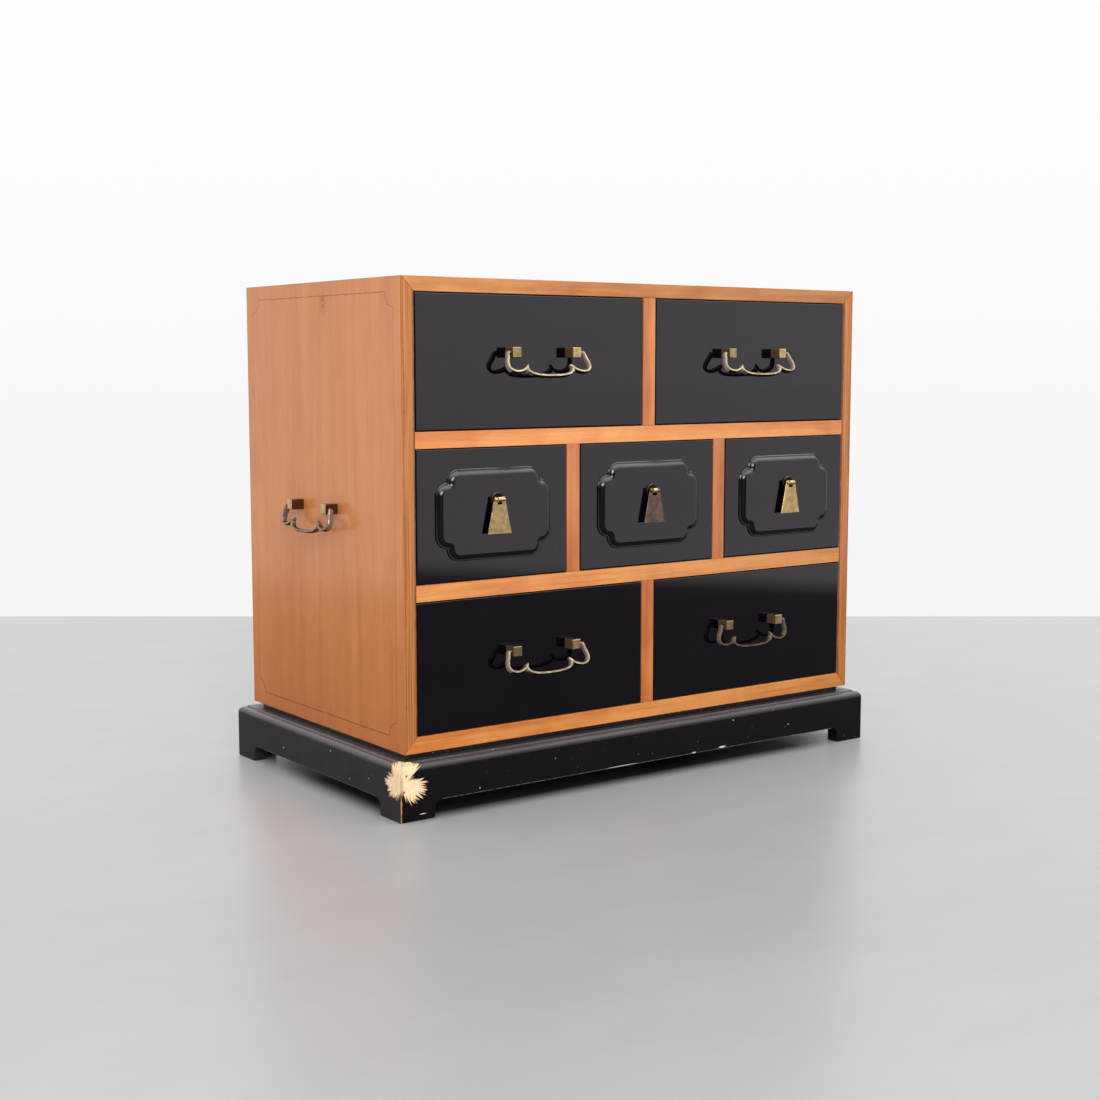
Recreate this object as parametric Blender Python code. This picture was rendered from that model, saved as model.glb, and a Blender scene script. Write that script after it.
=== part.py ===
"""A seven-drawer cabinet chest on a low plinth, with cusped bail pulls, plate drops and carrying handles.

Metres, +Z up. The front faces -Y. The origin is on the floor, in the middle of the whole chest's outline.
"""

import math

import bmesh
import bpy
from mathutils import Matrix, Vector
from mathutils.geometry import interpolate_bezier

# Fits
SEAT_GAP = 0.0003
PIN_CLEARANCE = 0.0003
OVERRUN = 0.010

# Case: mitred boards, two web frames between the drawer rows, upright partitions
CASE_WIDTH = 0.838
CASE_DEPTH = 0.4535
CASE_HEIGHT = 0.6375
SIDE_THICKNESS = 0.020
TOP_THICKNESS = 0.020
BOTTOM_THICKNESS = 0.0225
RAIL_THICKNESS = 0.0225
DIVIDER_THICKNESS = 0.022
TOP_ROW_HEIGHT = 0.1845
MIDDLE_ROW_HEIGHT = 0.1825
MIDDLE_DIVIDER_SPACING = 0.275
BACK_THICKNESS = 0.008
BACK_INSET = 0.004
FRAME_MEMBER_WIDTH = 0.060
DUST_PANEL_THICKNESS = 0.006
BOARD_EDGE_RADIUS = 0.0008

# Plinth: four mitred boards with a rounded top edge, bracket feet and a raised seat under the case
PLINTH_HEIGHT = 0.0866
PLINTH_OVERHANG = 0.019
PLINTH_BOARD_THICKNESS = 0.022
PLINTH_CAP_THICKNESS = 0.016
PLINTH_ROUND_RADIUS = 0.0085
PLINTH_LEDGE_WIDTH = 0.002
PLINTH_LEDGE_STEP = 0.002
SEAT_RISE = 0.0075
SEAT_INSET = 0.010
SEAT_WIDTH = 0.016
FOOT_LENGTH = 0.054
FOOT_HEIGHT = 0.024
FOOT_FILLET = 0.012

# Drawers
DRAWER_FRONT_THICKNESS = 0.019
DRAWER_FRONT_GAP = 0.0015
DRAWER_SIDE_THICKNESS = 0.012
DRAWER_BACK_THICKNESS = 0.012
DRAWER_SIDE_CLEARANCE = 0.0025
DRAWER_HEAD_CLEARANCE = 0.012
DRAWER_BACK_CLEARANCE = 0.016
DRAWER_BOTTOM_THICKNESS = 0.006
DRAWER_BOTTOM_RAISE = 0.010
DRAWER_GROOVE_DEPTH = 0.005
DRAWER_EDGE_RADIUS = 0.001

# Moulded plaque on each middle drawer front
PLAQUE_WIDTH = 0.1897
PLAQUE_HEIGHT = 0.1247
PLAQUE_THICKNESS = 0.007
PLAQUE_LOBE_RADIUS = 0.018
PLAQUE_STEP = 0.002
PLAQUE_STEP_CHAMFER = 0.0011
PLAQUE_LEDGE = 0.0012
OVOLO_FOOT_SLOPE = 50
OVOLO_HEAD_SLOPE = 16
OVOLO_STEPS = 3

# Bail pulls and carrying handles
PULL_SPACING = 0.1016
PULL_FROM_MIDDLE = 0.1968
PULL_ABOVE_CENTRE = 0.0130
POST_SIZE = 0.0145
POST_REACH = 0.020
POST_EDGE_RADIUS = 0.001
PIVOT_REACH = 0.0145
BORE_DEPTH = 0.008
PIN_RADIUS = 0.002
BAIL_WIDTH = 0.0044
BAIL_DEPTH = 0.0088
BAIL_ARM_DEPTH = 0.0080
BAIL_ARM_GAP = 0.0042
BAIL_DROP = 0.0358
SHOULDER_FROM_MIDDLE = 0.0682
SHOULDER_DROP = 0.0152
LOBE_FROM_MIDDLE = 0.0556
LOBE_DROP = 0.0297
CUSP_FROM_MIDDLE = 0.0393
CUSP_DROP = 0.0236
SPUR_REACH = 0.0038
SPUR_RISE = 0.0046
UPPER_BAIL_TILT = math.radians(25)
LOWER_LEFT_BAIL_TILT = math.radians(20)
LOWER_RIGHT_BAIL_TILT = math.radians(0)
HANDLE_BAIL_TILT = math.radians(14)
HANDLE_FROM_FRONT = 0.2335
HANDLE_HEIGHT = 0.3200

# How far the tangents of the bail's bends reach, and how its section changes along it
ELBOW_SHARE = 0.75
ARM_TANGENT_SHARES = (0.20, 0.30)
CORNER_TANGENT_SHARES = (0.71, 0.68)
LOBE_TANGENT_SHARE = 0.40
SPUR_TANGENT_SHARE = 0.50
BELLY_FALL_SHARES = (0.02, 0.88)
BELLY_TANGENT_SHARE = 0.56
BELLY_DEPTH_SHARE = 0.94
SPUR_WIDTH_SHARES = (1.0, 0.86, 0.46)
SPUR_DEPTH_SHARES = (1.0, 0.82, 0.50)
BAIL_CORNER_SHARE = 0.62

# Plate drops on the plaques
DROP_PIVOT_HEIGHT_ABOVE_CENTRE = 0.0195
DROP_PIVOT_REACH = 0.0072
ROSE_RADIUS = 0.0100
ROSE_THICKNESS = 0.003
ROSE_EDGE_RADIUS = 0.0012
NOSE_WIDTH = 0.0066
NOSE_RADIUS = 0.004
DROP_PIN_RADIUS = 0.0011
DROP_PIN_LENGTH = 0.0145
PLATE_THICKNESS = 0.0024
PLATE_TOP_WIDTH = 0.0172
PLATE_BOTTOM_WIDTH = 0.0388
PLATE_ABOVE_PIVOT = 0.0036
PLATE_BELOW_PIVOT = 0.0470
PLATE_NOTCH_WIDTH = 0.0078
PLATE_NOTCH_BELOW_PIVOT = 0.0068
PLATE_KNUCKLE_RADIUS = 0.0026
PLATE_EDGE_RADIUS = 0.0004

# Roundness
ARC_STEPS = 6
FINE_ARC_STEPS = 4
CYLINDER_SIDES = 16
BAIL_SECTION_SIDES = 8
BAIL_CURVE_STEPS = 5
BAIL_ARM_STEPS = 2
BAIL_ELBOW_STEPS = 3
MERGE_DISTANCE = 0.00001
MITRE_SHARE = 0.5
CRISP_ANGLE = 35
CUSP_ANGLE = 50

# Places worked out from the sizes above
BULGE_POWER = 2 / (2 - BAIL_CORNER_SHARE)
BULGE_SUM = (math.sin(UPPER_BAIL_TILT) * BAIL_WIDTH / 2) ** BULGE_POWER
BULGE_SUM += (math.cos(UPPER_BAIL_TILT) * BELLY_DEPTH_SHARE * BAIL_DEPTH / 2) ** BULGE_POWER
BAIL_REACH = PIVOT_REACH + math.sin(UPPER_BAIL_TILT) * BAIL_DROP + BULGE_SUM ** (1 / BULGE_POWER)
CASE_FRONT = BAIL_REACH - (BAIL_REACH + CASE_DEPTH + PLINTH_OVERHANG) / 2
CASE_BACK = CASE_FRONT + CASE_DEPTH
CASE_BASE = PLINTH_HEIGHT
CASE_TOP = CASE_BASE + CASE_HEIGHT
CASE_HALF = CASE_WIDTH / 2
INSIDE_HALF = CASE_HALF - SIDE_THICKNESS
BACK_PANEL_FRONT = CASE_BACK - BACK_INSET - BACK_THICKNESS
TOP_ROW_FLOOR = CASE_TOP - TOP_THICKNESS - TOP_ROW_HEIGHT
MIDDLE_ROW_FLOOR = TOP_ROW_FLOOR - RAIL_THICKNESS - MIDDLE_ROW_HEIGHT
BOTTOM_ROW_FLOOR = CASE_BASE + BOTTOM_THICKNESS
BOTTOM_ROW_HEIGHT = MIDDLE_ROW_FLOOR - RAIL_THICKNESS - BOTTOM_ROW_FLOOR
BAIL_ARM = PULL_SPACING / 2 + POST_SIZE / 2 + BAIL_ARM_GAP + BAIL_WIDTH / 2


def clear_scene():
    for obj in list(bpy.data.objects):
        bpy.data.objects.remove(obj)


def finish(name, colour, roughness, metallic=0.0):
    """A Principled material of one finish."""
    material = bpy.data.materials.new(name)
    material.use_nodes = True
    shader = material.node_tree.nodes["Principled BSDF"]
    shader.inputs["Base Color"].default_value = (*colour, 1.0)
    shader.inputs["Roughness"].default_value = roughness
    shader.inputs["Metallic"].default_value = metallic
    return material


def place(name, mesh, material=None, parent=None, location=(0, 0, 0), rotation=(0, 0, 0)):
    """A new object of this mesh, standing at a place that its parent measures."""
    obj = bpy.data.objects.new(name, mesh)
    bpy.context.scene.collection.objects.link(obj)
    obj.parent = parent
    obj.location = location
    obj.rotation_euler = rotation
    if material:
        obj.data.materials.clear()
        obj.data.materials.append(material)
    return obj


def cutter(name, mesh, parent=None, location=(0, 0, 0), rotation=(0, 0, 0)):
    obj = place(name, mesh, None, parent, location, rotation)
    obj.hide_render = True
    obj.display_type = "WIRE"
    return obj


def mesh_of(name, bm):
    bmesh.ops.recalc_face_normals(bm, faces=bm.faces)
    mesh = bpy.data.meshes.new(name)
    bm.to_mesh(mesh)
    bm.free()
    return mesh


def block(name, low, high):
    """A box between two corners."""
    bm = bmesh.new()
    low = Vector(low)
    high = Vector(high)
    bmesh.ops.create_cube(bm, size=1)
    bmesh.ops.scale(bm, vec=high - low, verts=bm.verts)
    bmesh.ops.translate(bm, vec=(low + high) / 2, verts=bm.verts)
    return mesh_of(name, bm)


def extruded(name, outline, low, high, axis="Y"):
    """An outline drawn across an axis and carried along it from low to high."""
    upright = {"X": lambda a, b, c: (c, a, b), "Y": lambda a, b, c: (a, c, b), "Z": lambda a, b, c: (a, b, c)}
    bm = bmesh.new()
    ring = [bm.verts.new(upright[axis](a, b, low)) for a, b in outline]
    face = bm.faces.new(ring)
    grown = bmesh.ops.extrude_face_region(bm, geom=[face])["geom"]
    moved = [item for item in grown if isinstance(item, bmesh.types.BMVert)]
    bmesh.ops.translate(bm, vec=upright[axis](0, 0, high - low), verts=moved)
    return mesh_of(name, bm)


def cylinder(name, radius, low, high, axis="X", centre=(0, 0)):
    """A round bar along an axis, from low to high."""
    turns = [math.tau * step / CYLINDER_SIDES for step in range(CYLINDER_SIDES)]
    outline = [(centre[0] + radius * math.cos(t), centre[1] + radius * math.sin(t)) for t in turns]
    return extruded(name, outline, low, high, axis)


def arc(centre, radius, start, end, steps=ARC_STEPS):
    """Points on an arc between two angles in degrees, ends included."""
    angles = [math.radians(start + (end - start) * step / steps) for step in range(steps + 1)]
    return [(centre[0] + radius * math.cos(a), centre[1] + radius * math.sin(a)) for a in angles]


def boolean(obj, other, operation="DIFFERENCE"):
    modifier = obj.modifiers.new(operation.lower(), "BOOLEAN")
    modifier.object = other
    modifier.operation = operation
    modifier.solver = "EXACT"


def eased(obj, radius, segments=2):
    """Rounds the sharp edges of an object."""
    modifier = obj.modifiers.new("eased_edges", "BEVEL")
    modifier.width = radius
    modifier.segments = segments
    modifier.limit_method = "ANGLE"
    modifier.angle_limit = math.radians(30)
    modifier.use_clamp_overlap = True


def realised(obj, helpers=()):
    """The object's mesh with its modifiers worked in. The object and its helpers are removed."""
    bpy.context.view_layer.update()
    graph = bpy.context.evaluated_depsgraph_get()
    mesh = bpy.data.meshes.new_from_object(obj.evaluated_get(graph))
    for used in (obj, *helpers):
        bpy.data.objects.remove(used)
    return mesh


def smooth(mesh, angle=CRISP_ANGLE):
    """Shades a mesh round, with its sharper edges kept crisp."""
    mesh.shade_smooth()
    mesh.set_sharp_from_angle(angle=math.radians(angle))
    return mesh


def mitred_case(wood):
    """Top, bottom and two sides, mitred to one another along all four corners."""
    reveal = SEAT_GAP * math.sqrt(2)
    roof = CASE_TOP - TOP_THICKNESS
    floor = CASE_BASE + BOTTOM_THICKNESS
    corner = CASE_HALF - reveal
    inner = INSIDE_HALF - reveal
    outlines = {
        "case_top": [(-corner, CASE_TOP), (corner, CASE_TOP), (inner, roof), (-inner, roof)],
        "case_bottom": [(-corner, CASE_BASE), (corner, CASE_BASE), (inner, floor), (-inner, floor)],
        "case_side_left": [(-CASE_HALF, CASE_BASE), (-CASE_HALF, CASE_TOP), (-INSIDE_HALF, roof), (-INSIDE_HALF, floor)],
        "case_side_right": [(CASE_HALF, CASE_BASE), (CASE_HALF, CASE_TOP), (INSIDE_HALF, roof), (INSIDE_HALF, floor)],
    }
    for name, outline in outlines.items():
        board = place(name, extruded(name, outline, CASE_FRONT, CASE_BACK), wood)
        eased(board, BOARD_EDGE_RADIUS)


def back_panel(wood):
    """The thin back, let in between the boards."""
    low = (-INSIDE_HALF + SEAT_GAP, BACK_PANEL_FRONT, CASE_BASE + BOTTOM_THICKNESS + SEAT_GAP)
    high = (INSIDE_HALF - SEAT_GAP, BACK_PANEL_FRONT + BACK_THICKNESS, CASE_TOP - TOP_THICKNESS - SEAT_GAP)
    place("case_back", block("case_back", low, high), wood)


def web_frame(name, underside, wood):
    """A frame of rails and runners with a thin dust panel in each half. Its front edge is the drawer rail."""
    half = INSIDE_HALF - SEAT_GAP
    front = CASE_FRONT
    back = BACK_PANEL_FRONT - SEAT_GAP
    top = underside + RAIL_THICKNESS
    frame = place(name, block(name, (-half, front, underside), (half, back, top)), wood)
    recess = (RAIL_THICKNESS - DUST_PANEL_THICKNESS) / 2
    spans = ((-half + FRAME_MEMBER_WIDTH, -FRAME_MEMBER_WIDTH / 2), (FRAME_MEMBER_WIDTH / 2, half - FRAME_MEMBER_WIDTH))
    levels = ((underside - OVERRUN, underside + recess), (top - recess, top + OVERRUN))
    for x_low, x_high in spans:
        for z_low, z_high in levels:
            low = (x_low, front + FRAME_MEMBER_WIDTH, z_low)
            high = (x_high, back - FRAME_MEMBER_WIDTH, z_high)
            boolean(frame, cutter(name + "_recess", block(name + "_recess", low, high)))


def divider(name, centre, floor, height, wood):
    """An upright partition as deep as the drawers."""
    half = DIVIDER_THICKNESS / 2
    low = (centre - half, CASE_FRONT, floor + SEAT_GAP)
    high = (centre + half, BACK_PANEL_FRONT - SEAT_GAP, floor + height - SEAT_GAP)
    place(name, block(name, low, high), wood)


def plinth_profile():
    """The section of a plinth board: distance out from the case's face, and height."""
    outer = PLINTH_OVERHANG
    inner = outer - PLINTH_BOARD_THICKNESS
    cap = PLINTH_HEIGHT - SEAT_RISE
    ledge = cap - PLINTH_LEDGE_STEP
    round_centre = (outer - PLINTH_ROUND_RADIUS, ledge - PLINTH_ROUND_RADIUS)
    step = round_centre[0] - PLINTH_LEDGE_WIDTH
    seat = PLINTH_HEIGHT - SEAT_GAP
    underside = cap - PLINTH_CAP_THICKNESS
    outline = [(inner, 0), (outer, 0)]
    outline += arc(round_centre, PLINTH_ROUND_RADIUS, 0, 90)
    outline += [(step, ledge), (step, cap), (-SEAT_INSET, cap), (-SEAT_INSET, seat)]
    outline += [(-SEAT_INSET - SEAT_WIDTH, seat), (-SEAT_INSET - SEAT_WIDTH, underside), (inner, underside)]
    return outline


def foot_arch(half_length):
    """The opening under a plinth board, with a hollow fillet against each foot."""
    half = half_length + PLINTH_OVERHANG - FOOT_LENGTH
    shoulder = FOOT_HEIGHT - FOOT_FILLET
    right = arc((half - FOOT_FILLET, shoulder), FOOT_FILLET, 0, 90)
    left = arc((FOOT_FILLET - half, shoulder), FOOT_FILLET, 90, 180)
    return [(-half, -OVERRUN), (half, -OVERRUN), *right, *left]


def plinth_board(name, half_length, location, turn, lacquer):
    """One mitred board of the plinth, with its two half feet."""
    bm = bmesh.new()
    ends = []
    for side in (-1, 1):
        reach = half_length - SEAT_GAP
        ends.append([bm.verts.new((side * (reach + out), -out, height)) for out, height in plinth_profile()])
        bm.faces.new(ends[-1])
    edges = []
    for ring in ends:
        edges += [bm.edges.get((ring[i], ring[i - 1])) for i in range(len(ring))]
    bmesh.ops.bridge_loops(bm, edges=edges)
    board = place(name, mesh_of(name, bm), lacquer, None, location, (0, 0, turn))
    low = -PLINTH_OVERHANG - OVERRUN
    high = PLINTH_BOARD_THICKNESS + OVERRUN
    arch = extruded(name + "_arch", foot_arch(half_length), low, high)
    boolean(board, cutter(name + "_arch", arch, None, location, (0, 0, turn)))
    eased(board, BOARD_EDGE_RADIUS, 1)
    smooth(board.data)


def plinth(lacquer):
    middle = CASE_FRONT + CASE_DEPTH / 2
    half_depth = CASE_DEPTH / 2
    plinth_board("plinth_front", CASE_HALF, (0, CASE_FRONT, 0), 0, lacquer)
    plinth_board("plinth_back", CASE_HALF, (0, CASE_BACK, 0), math.pi, lacquer)
    plinth_board("plinth_left", half_depth, (-CASE_HALF, middle, 0), -math.pi / 2, lacquer)
    plinth_board("plinth_right", half_depth, (CASE_HALF, middle, 0), math.pi / 2, lacquer)


def mirrored_quarters(quarter):
    """A closed outline from the points of its first quarter."""
    right_below = [(a, -b) for a, b in reversed(quarter)]
    left_above = [(-a, b) for a, b in reversed(quarter)]
    left_below = [(-a, -b) for a, b in quarter]
    return quarter + left_above + left_below + right_below


def plaque_outline(inset):
    """The plaque's outline drawn in by an inset. Two lobes meet in a re-entrant point at each corner."""
    radius = PLAQUE_LOBE_RADIUS
    across = PLAQUE_WIDTH / 2
    up = PLAQUE_HEIGHT / 2
    side_lobe = arc((across - radius, up - 2 * radius), radius - inset, 0, 90)
    notch = (across - radius - inset, up - radius - inset)
    top_lobe = arc((across - 2 * radius, up - radius), radius - inset, 0, 90)
    return mirrored_quarters([*side_lobe, notch, *top_lobe])


def plaque_section():
    """The moulded edge of the plaque: inset from its outline, and height above the drawer front."""
    ledge = PLAQUE_STEP_CHAMFER + PLAQUE_LEDGE
    section = [(0, -PLAQUE_STEP), (0, PLAQUE_STEP - PLAQUE_STEP_CHAMFER), (PLAQUE_STEP_CHAMFER, PLAQUE_STEP)]
    foot = math.radians(OVOLO_FOOT_SLOPE)
    head = math.radians(OVOLO_HEAD_SLOPE)
    radius = (PLAQUE_THICKNESS - PLAQUE_STEP) / (math.cos(head) - math.cos(foot))
    for step in range(OVOLO_STEPS + 1):
        slope = foot + (head - foot) * step / OVOLO_STEPS
        inset = ledge + radius * (math.sin(foot) - math.sin(slope))
        section.append((inset, PLAQUE_STEP + radius * (math.cos(slope) - math.cos(foot))))
    return section


def plaque_mesh():
    """The plaque, built up ring by ring from its back to its flat field."""
    bm = bmesh.new()
    rings = []
    for inset, height in plaque_section():
        rings.append([bm.verts.new((a, -height, b)) for a, b in plaque_outline(inset)])
    for lower, upper in zip(rings, rings[1:]):
        for i in range(len(lower)):
            bm.faces.new((lower[i - 1], lower[i], upper[i], upper[i - 1]))
    bm.faces.new(rings[0])
    bm.faces.new(rings[-1])
    return mesh_of("plaque", bm)


def drawer_sizes(width, height):
    """The box behind a drawer front: half width, foot and head, and its inside half width."""
    half = width / 2 - DRAWER_SIDE_CLEARANCE
    foot = SEAT_GAP - height / 2
    head = height / 2 - DRAWER_HEAD_CLEARANCE
    return half, foot, head, half - DRAWER_SIDE_THICKNESS


def drawer(name, opening, floor, height, plaque, lacquer, wood):
    """One drawer: its front, its box and its bottom. Their parent slides with it."""
    width = opening[1] - opening[0]
    slide = place(name, None, None, None, (sum(opening) / 2, CASE_FRONT, floor + height / 2))
    across = width / 2 - DRAWER_FRONT_GAP
    up = height / 2 - DRAWER_FRONT_GAP
    front_mesh = block(name + "_front", (-across, 0, -up), (across, DRAWER_FRONT_THICKNESS, up))
    front = place(name + "_front", front_mesh, lacquer, slide)
    eased(front, DRAWER_EDGE_RADIUS)
    if plaque:
        boolean(front, cutter(name + "_plaque", plaque_mesh(), slide), "UNION")

    half, foot, head, inside = drawer_sizes(width, height)
    near = DRAWER_FRONT_THICKNESS + SEAT_GAP
    far = BACK_PANEL_FRONT - DRAWER_BACK_CLEARANCE - CASE_FRONT
    wall = far - DRAWER_BACK_THICKNESS
    plan = [(-half, near), (-half, far), (half, far), (half, near)]
    plan += [(inside, near), (inside, wall), (-inside, wall), (-inside, near)]
    box = place(name + "_box", extruded(name + "_box", plan, foot, head, "Z"), wood, slide)

    groove = inside + DRAWER_GROOVE_DEPTH
    shelf = foot + DRAWER_BOTTOM_RAISE
    ceiling = shelf + DRAWER_BOTTOM_THICKNESS
    groove_low = (-groove, DRAWER_FRONT_THICKNESS - DRAWER_GROOVE_DEPTH, shelf)
    groove_high = (groove, wall + DRAWER_GROOVE_DEPTH, ceiling)
    slot = cutter(name + "_groove", block(name + "_groove", groove_low, groove_high), slide)
    boolean(box, slot)
    boolean(front, slot)
    bottom_low = [value + SEAT_GAP for value in groove_low]
    bottom_high = [value - SEAT_GAP for value in groove_high]
    place(name + "_bottom", block(name + "_bottom", bottom_low, bottom_high), wood, slide)
    return slide


def post_mesh():
    """A square post standing out along -Y, with a blind bore for the bail's pin in its left face."""
    half = POST_SIZE / 2
    post = place("post", block("post", (-half, -POST_REACH, -half), (half, -SEAT_GAP, half)))
    eased(post, POST_EDGE_RADIUS)
    bore_radius = PIN_RADIUS + PIN_CLEARANCE
    bore = cylinder("bore", bore_radius, -half - OVERRUN, BORE_DEPTH - half, "X", (-PIVOT_REACH, 0))
    drill = cutter("bore", bore)
    boolean(post, drill)
    return smooth(realised(post, [drill]))


def curve(start, start_handle, end_handle, end, steps=BAIL_CURVE_STEPS):
    """Points along a curve between two ends that its handles steer, without the first."""
    points = interpolate_bezier(start, start_handle, end_handle, end, steps + 1)
    return [point.to_2d() for point in points[1:]]


def arm_stations():
    """The bail's right arm, from its pin round the lobe to the spur: place, half width and half depth."""
    bend = ELBOW_SHARE * BAIL_WIDTH
    tip = PULL_SPACING / 2
    stations = [(Vector((x, 0)), PIN_RADIUS, PIN_RADIUS) for x in (tip, BAIL_ARM - bend)]
    elbow = [Vector(point) for point in arc((BAIL_ARM - bend, bend), bend, -90, 0, BAIL_ELBOW_STEPS)][1:]

    top = elbow[-1]
    shoulder = Vector((SHOULDER_FROM_MIDDLE, SHOULDER_DROP))
    lobe = Vector((LOBE_FROM_MIDDLE, LOBE_DROP))
    cusp = Vector((CUSP_FROM_MIDDLE, CUSP_DROP))
    spur = Vector((CUSP_FROM_MIDDLE - SPUR_REACH, CUSP_DROP - SPUR_RISE))
    down = Vector((0, ARM_TANGENT_SHARES[0] * (shoulder - top).length))
    slant = (shoulder - top).normalized()
    settle = ARM_TANGENT_SHARES[1] * (shoulder - top)
    fall = CORNER_TANGENT_SHARES[0] * (lobe.y - shoulder.y) * slant
    out = Vector((CORNER_TANGENT_SHARES[1] * (shoulder.x - lobe.x), 0))
    away = Vector((LOBE_TANGENT_SHARE * (lobe.x - cusp.x), 0))
    points = elbow + curve(top, top + down, shoulder - settle, shoulder, BAIL_ARM_STEPS)
    points += curve(shoulder, shoulder + fall, lobe + out, lobe)
    points += curve(lobe, lobe - away, cusp + (cusp - spur) * SPUR_TANGENT_SHARE, cusp)
    for point in points:
        deeper = min(point.y / LOBE_DROP, 1) if point.x > lobe.x else 1
        depth = BAIL_ARM_DEPTH + (BAIL_DEPTH - BAIL_ARM_DEPTH) * deeper
        stations.append((point, BAIL_WIDTH / 2, depth / 2))
    for i in range(1, len(SPUR_WIDTH_SHARES)):
        place_on_spur = cusp.lerp(spur, i / (len(SPUR_WIDTH_SHARES) - 1))
        half_width = BAIL_WIDTH / 2 * SPUR_WIDTH_SHARES[i]
        stations.append((place_on_spur, half_width, BAIL_DEPTH / 2 * SPUR_DEPTH_SHARES[i]))
    return stations


def belly_stations():
    """The bail's belly from cusp to cusp. Its ends are sunk in the two lobes."""
    cusp = Vector((CUSP_FROM_MIDDLE, CUSP_DROP))
    belly = Vector((0, BAIL_DROP))
    fall = belly - cusp
    leave = Vector((BELLY_FALL_SHARES[0] * fall.x, BELLY_FALL_SHARES[1] * fall.y))
    arrive = Vector((BELLY_TANGENT_SHARE * cusp.x, 0))
    half = [cusp] + curve(cusp, cusp + leave, belly + arrive, belly)
    points = half + [Vector((-point.x, point.y)) for point in reversed(half[:-1])]
    return [(point, BAIL_WIDTH / 2, BELLY_DEPTH_SHARE * BAIL_DEPTH / 2) for point in points]


def section_ring(bm, centre, normal, half_width, half_depth):
    """One rounded section of the bail, across its path."""
    ring = []
    for step in range(BAIL_SECTION_SIDES):
        turn = math.tau * (step + 0.5) / BAIL_SECTION_SIDES
        across, deep = math.cos(turn), math.sin(turn)
        across = math.copysign(abs(across) ** BAIL_CORNER_SHARE, across) * half_width
        deep = math.copysign(abs(deep) ** BAIL_CORNER_SHARE, deep) * half_depth
        point = centre + normal * across
        ring.append(bm.verts.new((point.x, deep, -point.y)))
    return ring


def swept(name, stations):
    """A closed bar through a row of sections."""
    bm = bmesh.new()
    rings = []
    points = [station[0] for station in stations]
    for i, (point, half_width, half_depth) in enumerate(stations):
        before = (point - points[i - 1]).normalized() if i else (points[1] - point).normalized()
        after = (points[i + 1] - point).normalized() if i + 1 < len(points) else before
        along = (before + after).normalized()
        spread = 1 / max(along.dot(before), MITRE_SHARE)
        rings.append(section_ring(bm, point, Vector((-along.y, along.x)) * spread, half_width, half_depth))
    for first, second in zip(rings, rings[1:]):
        for i in range(BAIL_SECTION_SIDES):
            bm.faces.new((first[i - 1], first[i], second[i], second[i - 1]))
    bm.faces.new(rings[0])
    bm.faces.new(rings[-1])
    return mesh_of(name, bm)


def bail_mesh():
    """The cast bail: two lobed arms joined by the belly. Its pins lie on the X axis and it hangs down."""
    right = arm_stations()
    left = [(Vector((-point.x, point.y)), width, depth) for point, width, depth in right]
    bail = place("bail", swept("belly", belly_stations()))
    arms = [cutter("arm", swept("arm", side)) for side in (left, right)]
    for arm in arms:
        boolean(bail, arm, "UNION")
    return smooth(realised(bail, arms), CUSP_ANGLE)


def pull(name, meshes, parent, location, turn, tilt, post_finish, bail_finish):
    """Two posts and the bail between them, on a face that looks along the pull's own -Y."""
    post, bail = meshes
    mount = place(name, None, None, parent, location, (0, 0, turn))
    place(name + "_post_left", post.copy(), post_finish, mount, (-PULL_SPACING / 2, 0, 0))
    place(name + "_post_right", post.copy(), post_finish, mount, (PULL_SPACING / 2, 0, 0), (0, math.pi, 0))
    place(name + "_bail", bail.copy(), bail_finish, mount, (0, -PIVOT_REACH, 0), (-tilt, 0, 0))


def rose_mesh():
    """The drop's post: a turned rose, a flat nose standing out of it, and the cross pin that the plate hangs on."""
    edge = ROSE_RADIUS - ROSE_EDGE_RADIUS
    rounded = arc((edge, ROSE_THICKNESS - ROSE_EDGE_RADIUS), ROSE_EDGE_RADIUS, 0, 90, FINE_ARC_STEPS)
    outline = [(0, SEAT_GAP), (ROSE_RADIUS, SEAT_GAP), *rounded, (0, ROSE_THICKNESS)]
    bm = bmesh.new()
    verts = [bm.verts.new((radius, -height, 0)) for radius, height in outline]
    edges = [bm.edges.new(pair) for pair in zip(verts, verts[1:])]
    bmesh.ops.spin(
        bm, geom=verts + edges, axis=(0, 1, 0), cent=(0, 0, 0), angle=math.tau, steps=CYLINDER_SIDES, use_merge=True
    )
    bmesh.ops.remove_doubles(bm, verts=bm.verts, dist=MERGE_DISTANCE)
    rose = place("rose", mesh_of("rose", bm))

    tip = arc((-DROP_PIVOT_REACH, 0), NOSE_RADIUS, 270, 90)
    root = -ROSE_THICKNESS / 2
    outline = [(root, -NOSE_RADIUS), *tip, (root, NOSE_RADIUS)]
    nose = cutter("nose", extruded("nose", outline, -NOSE_WIDTH / 2, NOSE_WIDTH / 2, "X"))
    half_pin = DROP_PIN_LENGTH / 2
    pin = cutter("pin", cylinder("pin", DROP_PIN_RADIUS, -half_pin, half_pin, "X", (-DROP_PIVOT_REACH, 0)))
    boolean(rose, nose, "UNION")
    boolean(rose, pin, "UNION")
    return smooth(realised(rose, [nose, pin]))


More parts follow.
